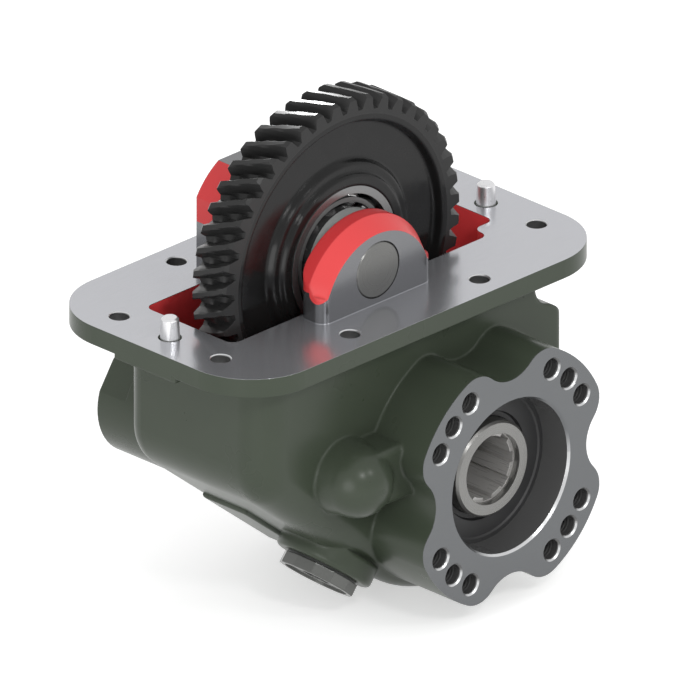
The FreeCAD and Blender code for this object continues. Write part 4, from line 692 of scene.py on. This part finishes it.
def link_piece(name, mesh, material, body):
    """Piece from a mesh, riding on a body of the frame."""
    piece = bpy.data.objects.new(name, mesh)
    bpy.context.scene.collection.objects.link(piece)
    piece.data.materials.append(material)
    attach(piece, body)
    return piece


def pump_hole_mouths():
    """Centres of the twelve tapped holes in the face of the pump flange."""
    mouths = []
    for degrees in PUMP_HOLE_ANGLES:
        angle = math.radians(degrees)
        mouth = SHAFT_AXIS + PUMP_HOLE_CIRCLE * Vector((math.cos(angle), 0, math.sin(angle)))
        mouth.y = FLANGE_FACE
        mouths.append(mouth)
    return mouths


def thread_ring(shape, centre, outer, settings):
    """Thread standing in from a hole's wall, wound from the mouth down the hole."""
    turns = settings.depth / settings.pitch
    count = int(turns * settings.steps)
    flank = settings.pitch * 0.46
    rows = []
    for step in range(count + 1):
        angle = 2 * math.pi * step / settings.steps
        fade = min(1.0, step / settings.steps, (count - step) / settings.steps)
        inner = outer - settings.height * fade
        down = centre.y + settings.start + settings.pitch * step / settings.steps
        crest = flank * 0.2
        row = []
        for reach, shift in ((outer, -flank), (inner, -crest), (inner, crest), (outer, flank)):
            row.append(shape.verts.new((
                centre.x + reach * math.cos(angle), down + shift, centre.z + reach * math.sin(angle))))
        rows.append(row)
    for first, second in zip(rows, rows[1:]):
        for index in range(3):
            shape.faces.new((first[index], second[index], second[index + 1], first[index + 1]))
    shape.faces.new(rows[0])
    shape.faces.new(rows[-1][::-1])


def countersink(shape, centre, down, radius, throat):
    """Cone at a hole's mouth, from its edge to a throat, with a short neck behind it."""
    side = down.orthogonal().normalized()
    other = down.cross(side)
    depth = radius - throat
    steps = ((radius, 0.02 * MM), (throat, depth), (throat, depth * 2), (radius, depth * 2))
    rows = []
    for reach, deep in steps:
        row = []
        for index in range(COUNTERSINK_SIDES):
            angle = 2 * math.pi * index / COUNTERSINK_SIDES
            spoke = side * math.cos(angle) + other * math.sin(angle)
            row.append(shape.verts.new(centre + spoke * reach + down * deep))
        rows.append(row)
    for first, second in zip(rows, rows[1:]):
        for index in range(COUNTERSINK_SIDES):
            after = (index + 1) % COUNTERSINK_SIDES
            shape.faces.new((first[index], first[after], second[after], second[index]))


def mesh_from(shape, name, smooth=True):
    """Mesh from built geometry, with outward faces."""
    bmesh.ops.recalc_face_normals(shape, faces=shape.faces)
    mesh = bpy.data.meshes.new(name)
    shape.to_mesh(mesh)
    shape.free()
    for face in mesh.polygons:
        face.use_smooth = smooth
    return mesh


# Operators


class DressHousing(bpy.types.Operator):
    """Paint the casting and the rear cover, and bare the machined faces"""

    bl_idname = "takeoff.dress_housing"
    bl_label = "Casting"

    def execute(self, context):
        settings, steels = context.scene.takeoff_paint, context.scene.takeoff_steel
        dress(["housing"], painted_casting(settings, steels))
        cover, tree, shader = new_surface("painted_cover")
        place, _ = object_place(tree)
        cloud = noise(tree, place, 24 * MM, 3.0)
        grain = noise(tree, place, settings.grain, 3.0)
        tone = shades(tree, cloud, settings.green, 0.92, 1.08)
        rough = math_node(tree, "MULTIPLY_ADD", cloud, 0.12, settings.roughness - 0.06)
        normal = bump(tree, grain, 0.04 * MM, 0.5, soft_edges(tree, settings.edge))
        drive(tree, shader, Base_Color=tone, Roughness=rough, Normal=normal,
              Specular_IOR_Level=settings.gloss)
        dress(["rear_cover"], cover)
        return {"FINISHED"}


class DressGears(bpy.types.Operator):
    """Black the gears and the dog clutch"""

    bl_idname = "takeoff.dress_gears"
    bl_label = "Gears and clutch"

    def execute(self, context):
        steels = context.scene.takeoff_steel
        for gear, axis in (("input_gear", GEAR_AXIS), ("output_gear", SHAFT_AXIS)):
            low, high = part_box(gear)
            web = (high.x - low.x) / 2 - TOOTH_ZONE
            dress([gear], black_steel("blackened_" + gear, steels.gear, 0.14, axis, web))
        dress(["clutch_hub", "clutch_sleeve"],
              black_steel("blackened_clutch_steel", steels.gear, 0.3, SHAFT_AXIS, 0))
        return {"FINISHED"}


class DressBearings(bpy.types.Operator):
    """Grind the bearing rings, balls and rollers and darken their cages"""

    bl_idname = "takeoff.dress_bearings"
    bl_label = "Bearings"

    def execute(self, context):
        steels = context.scene.takeoff_steel
        for bearing, finish, axis in (("idler", "ground_ring_steel", GEAR_AXIS),
                                      ("bearing", "ground_race_steel", SHAFT_AXIS)):
            rings = ["%s_%s_%s_ring" % (side, bearing, kind)
                     for side in ("front", "rear") for kind in ("inner", "outer")]
            dress(rings, bare_steel(finish, steels.ring, 0.22, ringed=axis))
        dress(["front_idler_balls", "rear_idler_balls", "front_bearing_rollers", "rear_bearing_rollers"],
              bare_steel("polished_ball_steel", (0.45, 0.45, 0.45), 0.12, grain=2 * MM, spread=0.04))
        cages = [side + kind for side in ("front", "rear") for kind in ("_idler_cage", "_bearing_cage")]
        dress(cages, bare_steel("pressed_cage_steel", (0.17, 0.17, 0.17), 0.36, metal=0.5))
        return {"FINISHED"}


class DressShafts(bpy.types.Operator):
    """Finish the shafts, spacers, pins, plug and the shifting gear"""

    bl_idname = "takeoff.dress_shafts"
    bl_label = "Shafts, pins and plug"

    def execute(self, context):
        steels = context.scene.takeoff_steel
        dress(["output_shaft"], shaft_steel(steels))
        dress(["idler_shaft"],
              bare_steel("turned_shaft_steel", (0.168, 0.168, 0.162), 0.3, ringed=GEAR_AXIS, edge=0.3 * MM))
        dress(["front_thrust_ring", "rear_thrust_ring", "bearing_spacer", "shaft_spacer", "hub_spacer"],
              bare_steel("turned_spacer_steel", (0.46, 0.475, 0.465), 0.34, metal=0.4))
        dress(["dowel_pins", "fork_pin"], bare_steel("bright_pin_steel", steels.bright, 0.3, edge=0.5 * MM))
        dress(["closing_plug"], bare_steel("turned_plug_steel", (0.12, 0.123, 0.117), 0.2, edge=0.7 * MM))
        dress(["shift_rod"], bare_steel("ground_rod_steel", (0.5, 0.5, 0.5), 0.22, ringed=SHIFT_AXIS))
        dress(["shift_fork"],
              bare_steel("forged_fork_steel", (0.2, 0.2, 0.21), 0.45, grain=1.5 * MM, edge=0.8 * MM))
        dress(["return_spring", "bearing_retaining_ring", "cap_retaining_ring"],
              bare_steel("drawn_spring_steel", (0.28, 0.28, 0.3), 0.3))
        dress(["cover_screws"], bare_steel("black_screw_steel", (0.06, 0.06, 0.06), 0.36))
        dress(["piston", "actuator_cap"],
              bare_steel("turned_aluminium", (0.6, 0.6, 0.62), 0.3, ringed=SHIFT_AXIS))
        dress(["plug_washer"], bare_steel("bonded_washer_steel", (0.05, 0.052, 0.05), 0.4, metal=0.3))
        dress(["gear_bush", "thrust_washer"], bare_steel("sintered_bronze", (0.5, 0.36, 0.19), 0.4))
        return {"FINISHED"}


class DressSeals(bpy.types.Operator):
    """Finish the rubber seals and the paper gasket"""

    bl_idname = "takeoff.dress_seals"
    bl_label = "Seals and gasket"

    def execute(self, context):
        dress(["oil_seal", "piston_seal"],
              soft_surface("seal_rubber", (0.03, 0.03, 0.031), 0.5, 0.9 * MM, 0.03 * MM))
        dress(["rear_gasket"], soft_surface("gasket_paper", (0.3, 0.24, 0.15), 0.8, 0.6 * MM, 0.04 * MM))
        return {"FINISHED"}


class CutThreads(bpy.types.Operator):
    """Wind the threads of the twelve tapped holes in the pump flange"""

    bl_idname = "takeoff.cut_threads"
    bl_label = "Pump hole threads"

    def execute(self, context):
        settings, steels = context.scene.takeoff_thread, context.scene.takeoff_steel
        shape = bmesh.new()
        for mouth in pump_hole_mouths():
            thread_ring(shape, mouth, PUMP_HOLE_RADIUS + 0.01 * MM, settings)
        mesh = mesh_from(shape, "pump_hole_threads")
        # The threads take the hole walls' painted shade
        material = bare_steel("cut_thread_steel", steels.hole, 0.4, metal=0.35)
        link_piece("pump_hole_threads", mesh, material, "housing_body")
        return {"FINISHED"}


class CutCountersinks(bpy.types.Operator):
    """Turn the bright cones at the mouths of the plate's and the pump flange's holes"""

    bl_idname = "takeoff.cut_countersinks"
    bl_label = "Countersinks"

    def execute(self, context):
        steels = context.scene.takeoff_steel
        shape = bmesh.new()
        for mouth in pump_hole_mouths():
            countersink(shape, mouth, Vector((0, 1, 0)), PUMP_HOLE_RADIUS, PUMP_HOLE_THROAT)
        for x, y in PLATE_HOLES:
            for across, along in ((1, 1), (1, -1), (-1, 1), (-1, -1)):
                mouth = Vector((x * across, y * along, 0))
                countersink(shape, mouth, Vector((0, 0, -1)), PLATE_HOLE_RADIUS, PLATE_HOLE_THROAT)
        mesh = mesh_from(shape, "countersinks", False)
        link_piece("countersinks", mesh, countersink_steel(steels), "housing_body")
        return {"FINISHED"}


class FitReturnSpring(bpy.types.Operator):
    """Copy the return spring into a piece of its own, riding on the housing, and hide the CAD spring"""

    bl_idname = "takeoff.fit_return_spring"
    bl_label = "Return spring"

    def execute(self, context):
        mesh = frame["nodes"]["return_spring"].data.copy()
        material = mesh.materials[0]
        mesh.materials.clear()
        spring = link_piece("return_spring_coils", mesh, material, "housing_body")
        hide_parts("return_spring")
        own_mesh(spring)
        return {"FINISHED"}


class BuildStage(bpy.types.Operator):
    """Set the studio: floor, daylight, lamps and camera"""

    bl_idname = "takeoff.build_stage"
    bl_label = "Studio"

    def execute(self, context):
        settings = context.scene.takeoff_stage
        place_floor(CAD_LOW.z)
        light_world(context.scene, settings.daylight)
        place_camera(context.scene, settings)
        centre = (CAD_LOW + CAD_HIGH) / 2
        gear_top = GEAR_AXIS + Vector((-0.03, 0, 0.075))
        add_lamp("key_lamp", centre, (7, 34), away=0.9, size=0.11, power=settings.key_power)
        add_lamp("fill_lamp", centre, (-24, 34), away=0.9, size=0.12, power=settings.fill_power)
        add_lamp("left_lamp", centre, (-67, 2), away=0.9, size=0.5, power=settings.left_power)
        glint = add_lamp("glint_lamp", gear_top, (140.6, 34.3), away=0.6, size=0.2,
                         power=settings.glint_power)
        # The glint lamp lights the gear alone, so that the plate behind it stays even
        lit = bpy.data.collections.new("lit_by_glint_lamp")
        lit.objects.link(frame["nodes"]["input_gear"])
        glint.light_linking.receiver_collection = lit
        context.scene.view_settings.view_transform = "Standard"
        return {"FINISHED"}


def place_floor(height):
    """Pale floor that keeps the object's shadow."""
    shape = bmesh.new()
    corners = [shape.verts.new((x * FLOOR_HALF, y * FLOOR_HALF, height))
               for x, y in ((-1, -1), (1, -1), (1, 1), (-1, 1))]
    shape.faces.new(corners)
    mesh = mesh_from(shape, "floor", False)
    floor = bpy.data.objects.new("floor", mesh)
    bpy.context.scene.collection.objects.link(floor)
    material, tree, shader = new_surface("pale_floor")
    cloud = noise(tree, object_place(tree)[0], 0.5, 2.0)
    tone = blend_colours(tree, cloud, (0.8, 0.8, 0.8, 1), (0.82, 0.82, 0.82, 1))
    glow = math_node(tree, "MULTIPLY", seen_rays(tree), FLOOR_GLOW)
    drive(tree, shader, Base_Color=tone, Roughness=1.0, Emission_Color=(1, 1, 1, 1), Emission_Strength=glow)
    floor.data.materials.append(material)


def light_world(scene, daylight):
    """Even daylight, seen as white by the camera and in reflections."""
    world = bpy.data.worlds.new("studio")
    scene.world = world
    world.use_nodes = True
    tree = world.node_tree
    background = tree.nodes["Background"]
    strength = blend_values(tree, seen_rays(tree), daylight, 1.0)
    background.inputs["Color"].default_value = (1, 1, 1, 1)
    tree.links.new(strength, background.inputs["Strength"])


def direction(azimuth, elevation):
    """Unit vector towards a place seen at an azimuth from the front and an elevation."""
    return Vector((math.sin(azimuth) * math.cos(elevation), -math.cos(azimuth) * math.cos(elevation),
                   math.sin(elevation)))


def add_lamp(name, centre, angles, away, size, power):
    """Round lamp aimed at a place."""
    towards = direction(math.radians(angles[0]), math.radians(angles[1]))
    data = bpy.data.lights.new(name, "AREA")
    data.shape = "DISK"
    data.size = size
    data.energy = power
    lamp = bpy.data.objects.new(name, data)
    lamp.location = centre + towards * away
    lamp.rotation_euler = towards.to_track_quat("Z", "Y").to_euler()
    bpy.context.scene.collection.objects.link(lamp)
    return lamp


def place_camera(scene, settings):
    """Camera at the photograph's angle, without perspective."""
    back = direction(settings.azimuth, settings.elevation)
    turn = Euler((math.pi / 2 - settings.elevation, 0, settings.azimuth))
    right, up = turn.to_matrix().col[0], turn.to_matrix().col[1]
    data = bpy.data.cameras.new("camera")
    data.type = "ORTHO"
    data.ortho_scale = settings.width
    camera = bpy.data.objects.new("camera", data)
    camera.location = right * settings.aim_right + up * settings.aim_up + back * CAMERA_DISTANCE
    camera.rotation_euler = turn
    scene.collection.objects.link(camera)
    scene.camera = camera


class TakeoffPanel(bpy.types.Panel):
    """Lists the unit's finishes"""

    bl_idname = "VIEW3D_PT_takeoff"
    bl_label = "Power Take Off"
    bl_space_type = "VIEW_3D"
    bl_region_type = "UI"
    bl_category = "Power Take Off"

    def draw(self, context):
        for group in SETTINGS:
            settings = getattr(context.scene, group)
            box = self.layout.box()
            for name in settings.bl_rna.properties.keys():
                if name not in ("rna_type", "name"):
                    box.prop(settings, name)
        for operator in OPERATORS:
            self.layout.operator(operator.bl_idname)


SETTINGS = {
    "takeoff_paint": PaintSettings,
    "takeoff_steel": SteelSettings,
    "takeoff_thread": ThreadSettings,
    "takeoff_stage": StageSettings,
}
OPERATORS = (DressHousing, DressGears, DressBearings, DressShafts, DressSeals, CutThreads, CutCountersinks,
             FitReturnSpring, BuildStage)


def register():
    """Add the settings, the operators and the panel."""
    for settings in SETTINGS.values():
        bpy.utils.register_class(settings)
    for name, settings in SETTINGS.items():
        setattr(bpy.types.Scene, name, PointerProperty(type=settings))
    for operator in OPERATORS:
        bpy.utils.register_class(operator)
    bpy.utils.register_class(TakeoffPanel)


def unregister():
    """Take the panel, the operators and the settings away again."""
    bpy.utils.unregister_class(TakeoffPanel)
    for operator in reversed(OPERATORS):
        bpy.utils.unregister_class(operator)
    for name in SETTINGS:
        delattr(bpy.types.Scene, name)
    for settings in reversed(SETTINGS.values()):
        bpy.utils.unregister_class(settings)


def main():
    """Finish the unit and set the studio."""
    register()
    bpy.ops.takeoff.dress_housing()
    bpy.ops.takeoff.dress_gears()
    bpy.ops.takeoff.dress_bearings()
    bpy.ops.takeoff.dress_shafts()
    bpy.ops.takeoff.dress_seals()
    bpy.ops.takeoff.cut_threads()
    bpy.ops.takeoff.cut_countersinks()
    bpy.ops.takeoff.fit_return_spring()
    bpy.ops.takeoff.build_stage()


if __name__ == "__main__":
    main()
